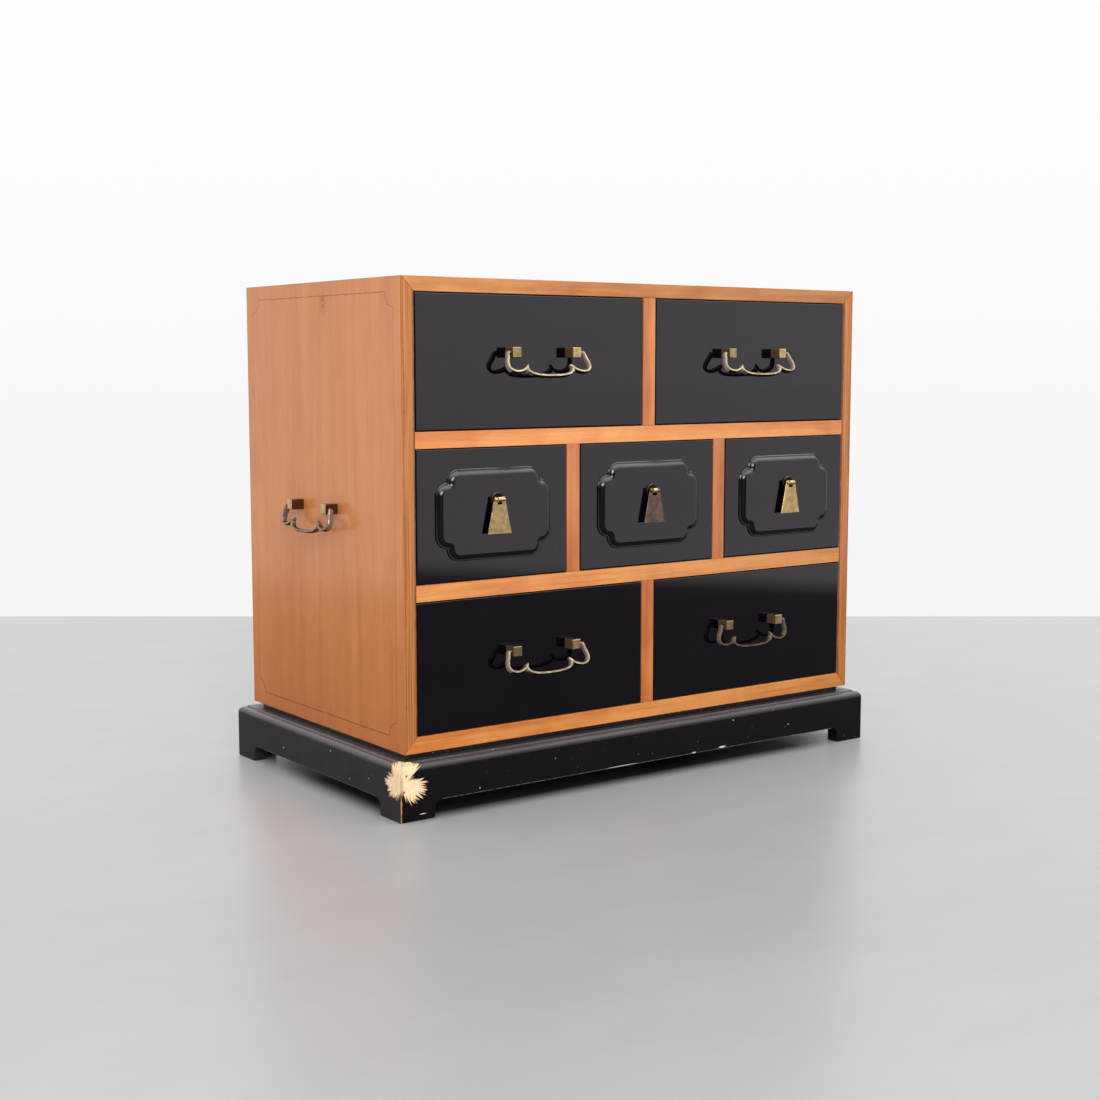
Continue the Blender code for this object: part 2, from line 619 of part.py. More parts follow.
def plate_mesh():
    """The tapered plate, with two knuckles beside its notch. The pin's axis is the X axis and it hangs down."""
    half_top = PLATE_TOP_WIDTH / 2
    half_bottom = PLATE_BOTTOM_WIDTH / 2
    half_thick = PLATE_THICKNESS / 2
    outline = [
        (-half_bottom, -PLATE_BELOW_PIVOT),
        (half_bottom, -PLATE_BELOW_PIVOT),
        (half_top, PLATE_ABOVE_PIVOT),
        (-half_top, PLATE_ABOVE_PIVOT),
    ]
    plate = place("plate", extruded("plate", outline, -half_thick, half_thick))
    knuckle = cutter("knuckle", cylinder("knuckle", PLATE_KNUCKLE_RADIUS, -half_top, half_top))
    notch_half = PLATE_NOTCH_WIDTH / 2
    notch_low = (-notch_half, -PLATE_KNUCKLE_RADIUS - OVERRUN, -PLATE_NOTCH_BELOW_PIVOT)
    notch_high = (notch_half, PLATE_KNUCKLE_RADIUS + OVERRUN, PLATE_ABOVE_PIVOT + OVERRUN)
    notch = cutter("notch", block("notch", notch_low, notch_high))
    bore = cutter("bore", cylinder("bore", DROP_PIN_RADIUS + PIN_CLEARANCE, -half_bottom, half_bottom))
    eased(plate, PLATE_EDGE_RADIUS, 1)
    boolean(plate, knuckle, "UNION")
    boolean(plate, notch)
    boolean(plate, bore)
    return smooth(realised(plate, [knuckle, notch, bore]))


def drop(name, meshes, slide, material):
    """A plate drop in the middle of a plaque."""
    rose, plate = meshes
    mount = place(name, None, None, slide, (0, -PLAQUE_THICKNESS, DROP_PIVOT_HEIGHT_ABOVE_CENTRE))
    place(name + "_post", rose.copy(), material, mount)
    place(name + "_plate", plate.copy(), material, mount, (0, -DROP_PIVOT_REACH, 0))


def openings(divider_centres):
    """The clear spans that a row's dividers leave between the case's sides."""
    edges = [-INSIDE_HALF]
    for centre in divider_centres:
        edges += [centre - DIVIDER_THICKNESS / 2, centre + DIVIDER_THICKNESS / 2]
    edges.append(INSIDE_HALF)
    return list(zip(edges[::2], edges[1::2]))


def build():
    clear_scene()
    wood = finish("case_wood", (0.60, 0.29, 0.13), 0.38)
    lacquer = finish("black_lacquer", (0.012, 0.011, 0.013), 0.30)
    box_wood = finish("drawer_wood", (0.55, 0.38, 0.20), 0.55)
    brass = finish("aged_brass", (0.52, 0.38, 0.17), 0.34, 1.0)
    bronze = finish("browned_brass", (0.24, 0.17, 0.11), 0.42, 1.0)

    mitred_case(wood)
    back_panel(box_wood)
    web_frame("web_frame_upper", TOP_ROW_FLOOR - RAIL_THICKNESS, wood)
    web_frame("web_frame_lower", MIDDLE_ROW_FLOOR - RAIL_THICKNESS, wood)
    plinth(lacquer)

    aside = MIDDLE_DIVIDER_SPACING / 2
    divider("divider_top", 0, TOP_ROW_FLOOR, TOP_ROW_HEIGHT, wood)
    divider("divider_middle_left", -aside, MIDDLE_ROW_FLOOR, MIDDLE_ROW_HEIGHT, wood)
    divider("divider_middle_right", aside, MIDDLE_ROW_FLOOR, MIDDLE_ROW_HEIGHT, wood)
    divider("divider_bottom", 0, BOTTOM_ROW_FLOOR, BOTTOM_ROW_HEIGHT, wood)

    pull_meshes = (post_mesh(), bail_mesh())
    rows = (
        ("top", TOP_ROW_FLOOR, TOP_ROW_HEIGHT, (UPPER_BAIL_TILT, UPPER_BAIL_TILT)),
        ("bottom", BOTTOM_ROW_FLOOR, BOTTOM_ROW_HEIGHT, (LOWER_LEFT_BAIL_TILT, LOWER_RIGHT_BAIL_TILT)),
    )
    for row, floor, height, tilts in rows:
        for side, opening, tilt, away in zip(("left", "right"), openings([0]), tilts, (-1, 1)):
            slide = drawer(f"drawer_{row}_{side}", opening, floor, height, False, lacquer, box_wood)
            centre = (away * PULL_FROM_MIDDLE - slide.location.x, 0, PULL_ABOVE_CENTRE)
            pull(f"pull_{row}_{side}", pull_meshes, slide, centre, 0, tilt, brass, bronze)

    drop_meshes = (rose_mesh(), plate_mesh())
    for side, opening in zip(("left", "centre", "right"), openings([-aside, aside])):
        name = f"drawer_middle_{side}"
        slide = drawer(name, opening, MIDDLE_ROW_FLOOR, MIDDLE_ROW_HEIGHT, True, lacquer, box_wood)
        drop(f"drop_{side}", drop_meshes, slide, bronze if side == "centre" else brass)

    for side, away in (("left", -1), ("right", 1)):
        centre = (away * CASE_HALF, CASE_FRONT + HANDLE_FROM_FRONT, CASE_BASE + HANDLE_HEIGHT)
        turn = away * math.pi / 2
        pull(f"handle_{side}", pull_meshes, None, centre, turn, HANDLE_BAIL_TILT, brass, bronze)


build()
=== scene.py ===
# %% [markdown]
# # A cabinet chest in its studio
# The chest is already built and packed as a frame of solid parts. This lesson dresses it: every part gets a
# finish made of nodes, a few pieces get a finer shape, and the whole stands on a pale studio floor.
# All lengths are in metres, and all colours are written as the sRGB hex values that a painter would pick.

# %% Load the frame
import math

import bmesh
import bpy
from mathutils import Matrix, Vector


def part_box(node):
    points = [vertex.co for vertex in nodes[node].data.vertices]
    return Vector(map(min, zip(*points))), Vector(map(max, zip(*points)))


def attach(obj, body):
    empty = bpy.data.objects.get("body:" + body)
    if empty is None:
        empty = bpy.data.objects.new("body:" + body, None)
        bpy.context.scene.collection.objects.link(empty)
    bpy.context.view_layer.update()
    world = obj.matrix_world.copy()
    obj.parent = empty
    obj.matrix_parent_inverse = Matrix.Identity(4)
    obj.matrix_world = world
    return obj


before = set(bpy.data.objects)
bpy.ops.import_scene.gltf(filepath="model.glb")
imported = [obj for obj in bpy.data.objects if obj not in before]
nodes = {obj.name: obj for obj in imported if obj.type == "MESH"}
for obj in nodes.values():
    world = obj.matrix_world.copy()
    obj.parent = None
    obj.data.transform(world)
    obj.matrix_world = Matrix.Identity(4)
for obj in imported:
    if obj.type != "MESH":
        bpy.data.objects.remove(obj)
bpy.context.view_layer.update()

MM = 0.001
# The limits of a mask that falls from 1 to 0.
FALLING = {"To Min": 1.0, "To Max": 0.0}

# %% [markdown]
# ## Where the case stands
# The finishes need a few places on the chest, such as the face of the case and the corner of the plinth. They are
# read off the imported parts, so the finishes stay right if the chest is made to another size. Its middle is at x = 0.

# %% Places on the chest
side_low, side_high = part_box("case_side_left")
plinth_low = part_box("plinth_front")[0]
CASE_LEFT = side_low.x
CASE_RIGHT = -CASE_LEFT
CASE_FRONT = side_low.y
CASE_BACK = side_high.y
CASE_BASE = side_low.z
CASE_TOP = side_high.z
PLINTH_LEFT = plinth_low.x
PLINTH_FRONT = plinth_low.y
PLINTH_LENGTH = -2 * PLINTH_LEFT
PLINTH_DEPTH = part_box("plinth_back")[1].y - PLINTH_FRONT
print("case face at", round(CASE_FRONT, 4), "plinth corner at", round(PLINTH_LEFT, 4), round(PLINTH_FRONT, 4))

# %% [markdown]
# ## The camera
# The photograph is taken from the left of the front, a little below the height of the case's top, with a slight
# tilt down. A lens of about 54 mm on a 36 mm wide sensor gives its perspective. The place is measured from the
# case's near corner, to the left, in front and above.

# %% Camera
LENS_LENGTH, SENSOR_WIDTH = 54.42, 36
CAMERA_LEFT, CAMERA_AHEAD, CAMERA_ABOVE = 1.1290, 1.8823, 0.5228
TILT_DOWN = 6.403
VIEW_TURN = math.radians(36.041)

camera_data = bpy.data.cameras.new("photo_camera")
camera_data.lens = LENS_LENGTH
camera_data.sensor_width = SENSOR_WIDTH
camera = bpy.data.objects.new("photo_camera", camera_data)
camera.location = (CASE_LEFT - CAMERA_LEFT, CASE_FRONT - CAMERA_AHEAD, CASE_BASE + CAMERA_ABOVE)
camera.rotation_euler = (math.radians(90 - TILT_DOWN), 0, -VIEW_TURN)
bpy.context.scene.collection.objects.link(camera)
bpy.context.scene.camera = camera
bpy.context.scene.view_settings.view_transform = "Standard"
view_along = Vector((math.sin(VIEW_TURN), math.cos(VIEW_TURN), 0))
view_right = Vector((math.cos(VIEW_TURN), -math.sin(VIEW_TURN), 0))
print("camera at", [round(v, 3) for v in camera.location])

# %% [markdown]
# ## A few small helpers
# A material in Blender is a graph of nodes. One helper turns a hex colour into the linear light values that the
# nodes work with. Another adds a node, sets its options, and fills its inputs with numbers or links. The rest start a
# finish, put it on parts, and make the masks that colours are laid through: a line, a spot, and where masks overlap.

# %% Helpers for colours and nodes
def hex_colour(code):
    """An sRGB hex colour as linear red, green, blue and alpha."""
    channels = [int(code[i:i + 2], 16) / 255 for i in (1, 3, 5)]
    return (*[c / 12.92 if c <= 0.04045 else ((c + 0.055) / 1.055) ** 2.4 for c in channels], 1.0)


def add(tree, kind, inputs=None, take=0, **settings):
    """Adds a node and gives back one of its outputs. An input is a number, a colour or another node's output."""
    node = tree.nodes.new("ShaderNode" + kind)
    for name, value in settings.items():
        setattr(node, name, value)
    for name, value in (inputs or {}).items():
        if isinstance(value, bpy.types.NodeSocket):
            tree.links.new(value, node.inputs[name])
        else:
            node.inputs[name].default_value = value
    return node.outputs[take]


def start_finish(name):
    """A new material: its node tree, its surface shader and the place on the piece."""
    material = bpy.data.materials.new(name)
    material.use_nodes = True
    tree = material.node_tree
    shader = tree.nodes["Principled BSDF"]
    place = add(tree, "TexCoord", take="Object")
    return material, tree, shader, place


def put_on(material, *names):
    """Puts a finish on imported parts."""
    for name in names:
        nodes[name].data.materials.clear()
        nodes[name].data.materials.append(material)


def near_line(tree, value, line_at, half_width):
    """1 where a value is close to the one that it has on a line, and 0 away from it."""
    off_line = add(tree, "Math", {0: value, 1: line_at}, operation="SUBTRACT")
    far = add(tree, "Math", {0: off_line}, operation="ABSOLUTE")
    limits = {"From Min": 0.5 * half_width, "From Max": 1.5 * half_width, **FALLING}
    return add(tree, "MapRange", {"Value": far, **limits})


def spot(tree, flat_place, at, size):
    """1 inside a spot of a given width and height on a flat map of the surface, 0 outside it."""
    offset = add(tree, "VectorMath", {0: flat_place, 1: (*at, 0)}, take="Vector", operation="SUBTRACT")
    to_share = (*[2 / side for side in size], 0)
    share = add(tree, "VectorMath", {0: offset, 1: to_share}, take="Vector", operation="MULTIPLY")
    distance = add(tree, "VectorMath", {0: share}, take="Value", operation="LENGTH")
    return add(tree, "MapRange", {"Value": distance, "From Min": 0.7, "From Max": 1.1, **FALLING})


def both(tree, *masks):
    """Where all of the masks are at work."""
    result = masks[0]
    for mask in masks[1:]:
        result = add(tree, "Math", {0: result, 1: mask}, operation="MULTIPLY")
    return result


def paint(tree, base, mask, code):
    """Lays a colour over another one where a mask is at work."""
    return add(tree, "Mix", {"Factor": mask, 6: base, 7: hex_colour(code)}, take=2, data_type="RGBA")


print("helpers ready")

# %% [markdown]
# ## The case: warm brown hardwood under clear lacquer
# The case is a close-grained hardwood with a warm orange-brown tone under a thin clear lacquer. Each board was sawn
# along its grain, so the streaks run up the sides and partitions and along the top and the rails. Five noises, each
# stretched along the grain, give the broad colour bands, the soft streaks, the cloudy figure, the thin dark lines and
# the short pores. The real pores are finer than a picture can show, so they are drawn a little coarser.
# Every board gets its own shift of the pattern, because no two boards are cut from the same place, and its own tone,
# which is partly the board's own and partly painted light. The rails between the drawers are paler than the sides at
# their left ends and darker at their right ends: a painted fall-off of the light towards the right.

# %% Wood finish
STRETCH = {"X": (1, 0, 0), "Y": (0, 1, 0), "Z": (0, 0, 1)}


def grain_noise(tree, place, along, across_mm, length_mm, shift, detail, roughness=0.5, distortion=0.0):
    """Noise drawn out along the grain. The sizes are those of one streak."""
    scale = [1 / ((length_mm if on_axis else across_mm) * MM) for on_axis in STRETCH[along]]
    spot_at = add(tree, "Mapping", {"Vector": place, "Location": (shift, 2.3 * shift, 5.1 * shift), "Scale": scale})
    settings = {"Vector": spot_at, "Scale": 1.0, "Detail": detail, "Roughness": roughness, "Distortion": distortion}
    return add(tree, "TexNoise", settings, take="Fac")


def ramp(tree, value, stops):
    """A colour ramp with stops of (position, hex colour)."""
    socket = add(tree, "ValToRGB", {"Fac": value})
    elements = socket.node.color_ramp.elements
    while len(elements) > 1:
        elements.remove(elements[-1])
    for i, (position, code) in enumerate(stops):
        element = elements[0] if i == 0 else elements.new(position)
        element.position = position
        element.color = hex_colour(code)
    return socket


def wood_colour(tree, place, along, shift, figure):
    """The colour of the bare stained wood, with its streaks and pores. Figure is how strong the pattern is."""
    bands = grain_noise(tree, place, along, 60, 800, shift, 3, 0.5, 0.8)
    streaks = grain_noise(tree, place, along, 11, 260, shift + 7, 4, 0.55, 0.4)
    pores = grain_noise(tree, place, along, 1.5, 22, shift + 13, 2)
    cloud = grain_noise(tree, place, along, 34, 75, shift + 17, 3, 0.55, 0.5)
    tone = add(tree, "Mix", {0: 0.34, 2: bands, 3: streaks}, data_type="FLOAT")
    tone = add(tree, "Mix", {0: 0.25, 2: tone, 3: cloud}, data_type="FLOAT")
    tone = add(tree, "Math", {0: tone, 1: figure, 2: 0.48 * (1 - figure)}, operation="MULTIPLY_ADD")
    colour = ramp(tree, tone, [(0.36, "#B26333"), (0.48, "#CB7E48"), (0.60, "#E0985A")])
    lines = grain_noise(tree, place, along, 3.2, 190, shift + 23, 3, 0.6)
    lines = add(tree, "MapRange", {"Value": lines, "From Min": 0.56, "From Max": 0.74, "To Max": 0.38 * figure})
    colour = paint(tree, colour, lines, "#A2562B")
    marks = add(tree, "MapRange", {"Value": pores, "From Min": 0.58, "From Max": 0.80, "To Max": 0.26})
    return paint(tree, colour, marks, "#8E4A22"), streaks, pores


def wood_surface(tree, shader, colour, streaks, pores):
    """Clear lacquer over the wood: a soft mirror with the grain just felt through it."""
    tree.links.new(colour, shader.inputs["Base Color"])
    gloss = add(tree, "MapRange", {"Value": streaks, "To Min": 0.36, "To Max": 0.50})
    tree.links.new(gloss, shader.inputs["Roughness"])
    shader.inputs["Specular IOR Level"].default_value = 0.2
    shader.inputs["Coat Weight"].default_value = 0.55
    shader.inputs["Coat Roughness"].default_value = 0.12
    raised = add(tree, "Mix", {0: 0.35, 2: streaks, 3: pores}, data_type="FLOAT")
    bump = add(tree, "Bump", {"Strength": 0.10, "Distance": 0.3 * MM, "Height": raised})
    tree.links.new(bump, shader.inputs["Normal"])


def saturation_by_height(tree, place):
    """Painted light: the colour is a little richer near the floor, where less of the whiter light from above falls."""
    z = add(tree, "SeparateXYZ", {0: place}, take=2)
    limits = {"From Min": CASE_BASE, "From Max": CASE_BASE + 0.3, "To Min": 1.04, "To Max": 1.0}
    return add(tree, "MapRange", {"Value": z, **limits})


# %% Boards
# A hue of 0.5 leaves the colour as it is. The upright partitions are a touch redder.
PLAIN_HUE, PARTITION_HUE = 0.5, 0.4945
# The share of the tone at a board's left end. With the share at its right end it makes a painted fall-off of the light.
LIT_SHARE_AT_LEFT = 1.03


def case_wood(name, along, shift, tone, lit_share_at_right):
    """Stained hardwood with its grain along one axis. Its lightness changes from the left to the right end, a painted
    fall-off of the light.
    """
    material, tree, shader, place = start_finish(name)
    colour, streaks, pores = wood_colour(tree, place, along, shift, 1.0)
    # Painted light: the lightness falls off from the left end of the board to its right end.
    x = add(tree, "SeparateXYZ", {0: place}, take=0)
    limits = {"From Min": CASE_LEFT, "From Max": CASE_RIGHT, "To Min": LIT_SHARE_AT_LEFT * tone, "To Max": lit_share_at_right * tone}
    lightness = add(tree, "MapRange", {"Value": x, **limits})
    hue = PARTITION_HUE if along == "Z" else PLAIN_HUE
    richness = saturation_by_height(tree, place)
    settings = {"Color": colour, "Hue": hue, "Saturation": richness, "Value": lightness}
    colour = add(tree, "HueSaturation", settings)
    wood_surface(tree, shader, colour, streaks, pores)
    return material


# The axis of each board's grain, its tone, and the share of that tone at its right end. The tones are partly each
# board's own and partly painted light, and the change towards the right end is a painted fall-off of the light.
boards = {
    "divider_top": ("Z", 0.93, 0.90), "divider_middle_left": ("Z", 0.86, 0.90),
    "divider_middle_right": ("Z", 0.84, 0.90), "divider_bottom": ("Z", 0.84, 0.90),
    "case_top": ("X", 0.80, 0.80), "case_bottom": ("X", 0.96, 0.90),
    "web_frame_upper": ("X", 1.13, 0.88), "web_frame_lower": ("X", 1.03, 0.78),
}
for i, (name, (along, tone, lit_share_at_right)) in enumerate(boards.items()):
    put_on(case_wood(name + "_wood", along, 1.7 * i + 0.3, tone, lit_share_at_right), name)
print("wood on", len(boards), "boards")

# %% [markdown]
# ## The two case sides
# A thin dark line is let into each side, parallel to its edges, with a quarter circle cut out of each corner. It is
# under a millimetre and a half wide, and worn so thin that it nearly fades on the upright stretches. The sides have a
# small knot near the top, and are darker and redder at the bottom. On the front, the side's edge is browner than the
# rails, and painted lighter towards the top, a painted light. It shows the seam of its outer veneer, three millimetres
# in, with dark flecks along it, and has a painted shade along its inner corner. A grey line along its top edge is a
# painted highlight.

# %% Side boards
STRING_INSET = 20 * MM
STRING_NOTCH = 20 * MM
VENEER = 3 * MM
INNER_CORNER = 19 * MM
# The knot: a dark core, a smaller mark below it and the shadow round both. Each one's place behind the front and
# above the base in mm, its size in mm and its strength.
KNOT = [((211.2, 612.2), (8, 9), 0.5), ((210.8, 602.5), (7, 6), 0.5), ((211.5, 606.0), (20, 34), 0.16)]


def side_board(name, outer_x, inward, shift, edge_level):
    """Finish of one case side. Inward is the direction from its outer face to the middle of the chest."""
    material, tree, shader, place = start_finish(name + "_wood")
    colour, streaks, pores = wood_colour(tree, place, "Z", shift, 0.4)
    x, y, z = add(tree, "SeparateXYZ", {0: place}).node.outputs
    flat_place = add(tree, "CombineXYZ", {0: y, 1: z})
    depth_in = add(tree, "Math", {0: x, 1: outer_x}, operation="SUBTRACT")
    depth_in = add(tree, "Math", {0: depth_in, 1: inward}, operation="MULTIPLY")
    near_face = {"From Min": 0.6 * MM, "From Max": 1.0 * MM, **FALLING}
    on_face = add(tree, "MapRange", {"Value": depth_in, **near_face})
    near_front = {"From Min": CASE_FRONT + 0.6 * MM, "From Max": CASE_FRONT + 1.0 * MM, **FALLING}
    on_front = add(tree, "MapRange", {"Value": y, **near_front})

    low_limits = {"From Min": CASE_BASE, "From Max": CASE_BASE + 0.24, "To Min": 0.55, "To Max": 0.0}
    low_down = add(tree, "MapRange", {"Value": z, **low_limits})
    colour = paint(tree, colour, low_down, "#B5652F")
    blotches = grain_noise(tree, place, "Z", 9, 14, shift + 20, 3)
    stains = add(tree, "MapRange", {"Value": blotches, "From Min": 0.62, "From Max": 0.74, "To Max": 0.35})
    colour = paint(tree, colour, both(tree, stains, low_down), "#6E3417")
    for at, size, strength in KNOT:
        at = (CASE_FRONT + at[0] * MM, CASE_BASE + at[1] * MM)
        knot = both(tree, spot(tree, flat_place, at, (size[0] * MM, size[1] * MM)), strength)
        colour = paint(tree, colour, knot, "#7A4A2A")

    middle = (0, (CASE_FRONT + CASE_BACK) / 2, (CASE_BASE + CASE_TOP) / 2)
    half = (0, (CASE_BACK - CASE_FRONT) / 2 - STRING_INSET, (CASE_TOP - CASE_BASE) / 2 - STRING_INSET)
    off_middle = add(tree, "VectorMath", {0: place, 1: middle}, take="Vector", operation="SUBTRACT")
    off_middle = add(tree, "VectorMath", {0: off_middle}, take="Vector", operation="ABSOLUTE")
    off_corner = add(tree, "VectorMath", {0: off_middle, 1: half}, take="Vector", operation="SUBTRACT")
    off_corner = add(tree, "VectorMath", {0: off_corner, 1: (0, 1, 1)}, take="Vector", operation="MULTIPLY")
    _, off_y, off_z = add(tree, "SeparateXYZ", {0: off_corner}).node.outputs
    box = add(tree, "Math", {0: off_y, 1: off_z}, operation="MAXIMUM")
    to_corner = add(tree, "VectorMath", {0: off_corner}, take="Value", operation="LENGTH")
    notch = add(tree, "Math", {0: STRING_NOTCH, 1: to_corner}, operation="SUBTRACT")
    string = add(tree, "Math", {0: box, 1: notch}, operation="MAXIMUM")
    string = near_line(tree, string, 0, 0.8 * MM)
    level_limits = {"From Min": -30 * MM, "From Max": -12 * MM, "To Min": 0.30, "To Max": 0.75}
    strong_when_level = add(tree, "MapRange", {"Value": off_z, **level_limits})
    worn = add(tree, "MapRange", {"Value": blotches, "From Min": 0.35, "From Max": 0.55, "To Min": 0.55})
    colour = paint(tree, colour, both(tree, string, on_face, strong_when_level, worn), "#6B3A1E")

    fine = grain_noise(tree, place, "Z", 1.6, 160, shift + 27, 2)
    edge = ramp(tree, fine, [(0.36, "#9C5A2E"), (0.50, "#AE6A39"), (0.64, "#BE7C46")])
    # Painted light: the front edge is painted lighter towards the top.
    up_limits = {"From Min": CASE_BASE, "From Max": CASE_TOP, "To Min": 0.98 * edge_level, "To Max": 1.10 * edge_level}
    lightness = add(tree, "MapRange", {"Value": z, **up_limits})
    edge = add(tree, "HueSaturation", {"Color": edge, "Value": lightness})
    colour = add(tree, "Mix", {"Factor": on_front, 6: colour, 7: edge}, take=2, data_type="RGBA")
    seam = near_line(tree, depth_in, VENEER, 0.7 * MM)
    flecks = grain_noise(tree, place, "Z", 2.5, 5, shift + 25, 2)
    fleck_limits = {"From Min": 0.45, "From Max": 0.66, "To Min": 0.35, "To Max": 0.85}
    flecks = add(tree, "MapRange", {"Value": flecks, **fleck_limits})
    colour = paint(tree, colour, both(tree, seam, on_front, flecks), "#7A3A16")
    # Painted shade: a darker strip along the inner corner of the front edge, where a small chamfer lies in shade.
    rubbed = near_line(tree, depth_in, INNER_CORNER, 1.6 * MM)
    colour = paint(tree, colour, both(tree, rubbed, on_front, worn), "#6E4A2C")
    # Painted highlight: a grey line along the top edge, where the rounded edge mirrors the bright light from above.
    painted_rim_highlight = near_line(tree, z, CASE_TOP, 1.2 * MM)
    colour = paint(tree, colour, both(tree, painted_rim_highlight, 0.45), "#8C8070")
    wood_surface(tree, shader, colour, streaks, pores)
    return material


put_on(side_board("case_side_left", CASE_LEFT, 1, 0.9, 1.0), "case_side_left")
put_on(side_board("case_side_right", CASE_RIGHT, -1, 4.1, 1.06), "case_side_right")
print("wood on the two sides")

# %% [markdown]
# ## Black lacquer
# The drawer fronts and the plinth are sprayed with black lacquer. The flat faces are rubbed out and polished. The
# mouldings can't be rubbed as well, so they stay duller. Black lacquer has almost no colour of its own: what the eye
# reads is the studio mirrored in it, a little blurred by fine rubbing marks and dust. The IOR of 1.6 and the faint
# violet tint of what it mirrors are matched to the photograph.

# %% Lacquer finish
LACQUER_IOR = 1.60
MOULDED_DULLER = 0.15


def lacquer(tree, shader, place, shift, gloss_low, gloss_high, dusty):
    """Black lacquer with faint rubbing marks and dust. Gives back its colour and its bump, for wear laid over them."""
    haze = grain_noise(tree, place, "X", 40, 90, shift, 4, 0.55)
    rubbed = grain_noise(tree, place, "Z", 3, 60, shift + 5, 3, 0.6)
    colour = ramp(tree, haze, [(0.35, "#030206"), (0.75, "#08050D")])
    film_limits = {"From Min": 0.3, "From Max": 0.7, "To Min": 0.7 * dusty, "To Max": dusty}
    colour = paint(tree, colour, add(tree, "MapRange", {"Value": haze, **film_limits}), "#6A6460")
    dust = grain_noise(tree, place, "X", 2.2, 2.2, shift + 9, 1)
    specks = add(tree, "MapRange", {"Value": dust, "From Min": 0.76, "From Max": 0.84, "To Max": 0.35})
    colour = paint(tree, colour, specks, "#6F6A66")
    shader.inputs["IOR"].default_value = LACQUER_IOR
    shader.inputs["Specular Tint"].default_value = hex_colour("#FFF7FF")
    gloss = add(tree, "MapRange", {"Value": rubbed, "To Min": gloss_low, "To Max": gloss_high})
    normal = add(tree, "TexCoord", take="Normal")
    facing = add(tree, "VectorMath", {0: normal, 1: (0, -1, 0)}, take="Value", operation="DOT_PRODUCT")
    turned_away = {"From Min": 0.93, "From Max": 0.98, "To Min": MOULDED_DULLER, "To Max": 0.0}
    moulded = add(tree, "MapRange", {"Value": facing, **turned_away})
    gloss = add(tree, "Math", {0: gloss, 1: moulded}, operation="ADD")
    tree.links.new(gloss, shader.inputs["Roughness"])
    bump = add(tree, "Bump", {"Strength": 0.04, "Distance": 0.2 * MM, "Height": haze})
    tree.links.new(bump, shader.inputs["Normal"])
    return colour, bump


fronts = sorted(name for name in nodes if name.startswith("drawer") and name.endswith("_front"))
for i, name in enumerate(fronts):
    material, tree, shader, place = start_finish(name + "_lacquer")
    colour, bump = lacquer(tree, shader, place, 2.1 * i + 0.4, 0.03, 0.075, 0.003)
    tree.links.new(colour, shader.inputs["Base Color"])
    put_on(material, name)
print("lacquer on", len(fronts), "drawer fronts")

# %% [markdown]
# ## The moulded plaques
# Each middle drawer carries a plaque with a moulded edge: a small chamfered step, a narrow ledge and a quarter round
# that rises to the flat field. A round cutter makes it. Where two lobes meet in a corner the cutter turns about that
# point, so the inner edge of the moulding is rounded there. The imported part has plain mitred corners, so a finer skin
# is laid over it, a tenth of a millimetre proud of its flat faces. Its rings are drawn one inside the other and
# bridged.

# %% Plaque skins
PLAQUE_HALF = (94.85 * MM, 62.35 * MM)
PLAQUE_LOBE = 18 * MM
PLAQUE_RISE = 7 * MM
SKIN = 0.1 * MM
SUNK = 0.5 * MM
STEP = 2 * MM
LEDGE_END = 2.1 * MM
ROUND_FOOT = math.radians(60)
ROUND_HEAD = math.radians(14)
ROUND_STEPS = 8
LOBE_STEPS = 12
TURN_STEPS = 6
# The outermost outlines lie outside the point where the lobes meet, so each lobe stops this many degrees short of it.
LOBE_TRIM = 0.5


def arc_points(centre, radius, start, end, steps):
    """Points on an arc between two angles in degrees."""
    angles = [math.radians(start + (end - start) * i / steps) for i in range(steps + 1)]
    return [(centre[0] + radius * math.cos(angle), centre[1] + radius * math.sin(angle)) for angle in angles]


def plaque_ring(inset):
    """The outline drawn in by an inset: in each corner two lobes, and a turn about the point where they meet."""
    across, up = PLAQUE_HALF
    trim = 0 if inset > 0 else LOBE_TRIM
    radius = PLAQUE_LOBE - inset
    side_lobe = arc_points((across - PLAQUE_LOBE, up - 2 * PLAQUE_LOBE), radius, 0, 90 - trim, LOBE_STEPS)
    top_lobe = arc_points((across - 2 * PLAQUE_LOBE, up - PLAQUE_LOBE), radius, trim, 90, LOBE_STEPS)
    turn = arc_points((across - PLAQUE_LOBE, up - PLAQUE_LOBE), inset, 270, 180, TURN_STEPS)
    if inset <= 0:
        start, end = Vector(side_lobe[-1]), Vector(top_lobe[0])
        turn = [tuple(start.lerp(end, i / TURN_STEPS)) for i in range(TURN_STEPS + 1)]
    quarter = side_lobe + turn[1:-1] + top_lobe
    left_above = [(-a, b) for a, b in reversed(quarter)]
    left_below = [(-a, -b) for a, b in quarter]
    right_below = [(a, -b) for a, b in reversed(quarter)]
    return quarter + left_above + left_below + right_below


def plaque_section():
    """Insets and heights of the rings, from inside the drawer front up to the field."""
    section = [(-SKIN, -SUNK), (-SKIN, STEP / 2), (STEP / 2, STEP + SKIN), (LEDGE_END, STEP + SKIN)]
    radius = (PLAQUE_RISE - STEP) / (math.cos(ROUND_HEAD) - math.cos(ROUND_FOOT))
    for i in range(1, ROUND_STEPS + 1):
        slope = ROUND_FOOT + (ROUND_HEAD - ROUND_FOOT) * i / ROUND_STEPS
        inset = LEDGE_END + radius * (math.sin(ROUND_FOOT) - math.sin(slope))
        section.append((inset, STEP + SKIN + radius * (math.cos(slope) - math.cos(ROUND_FOOT))))
    return section


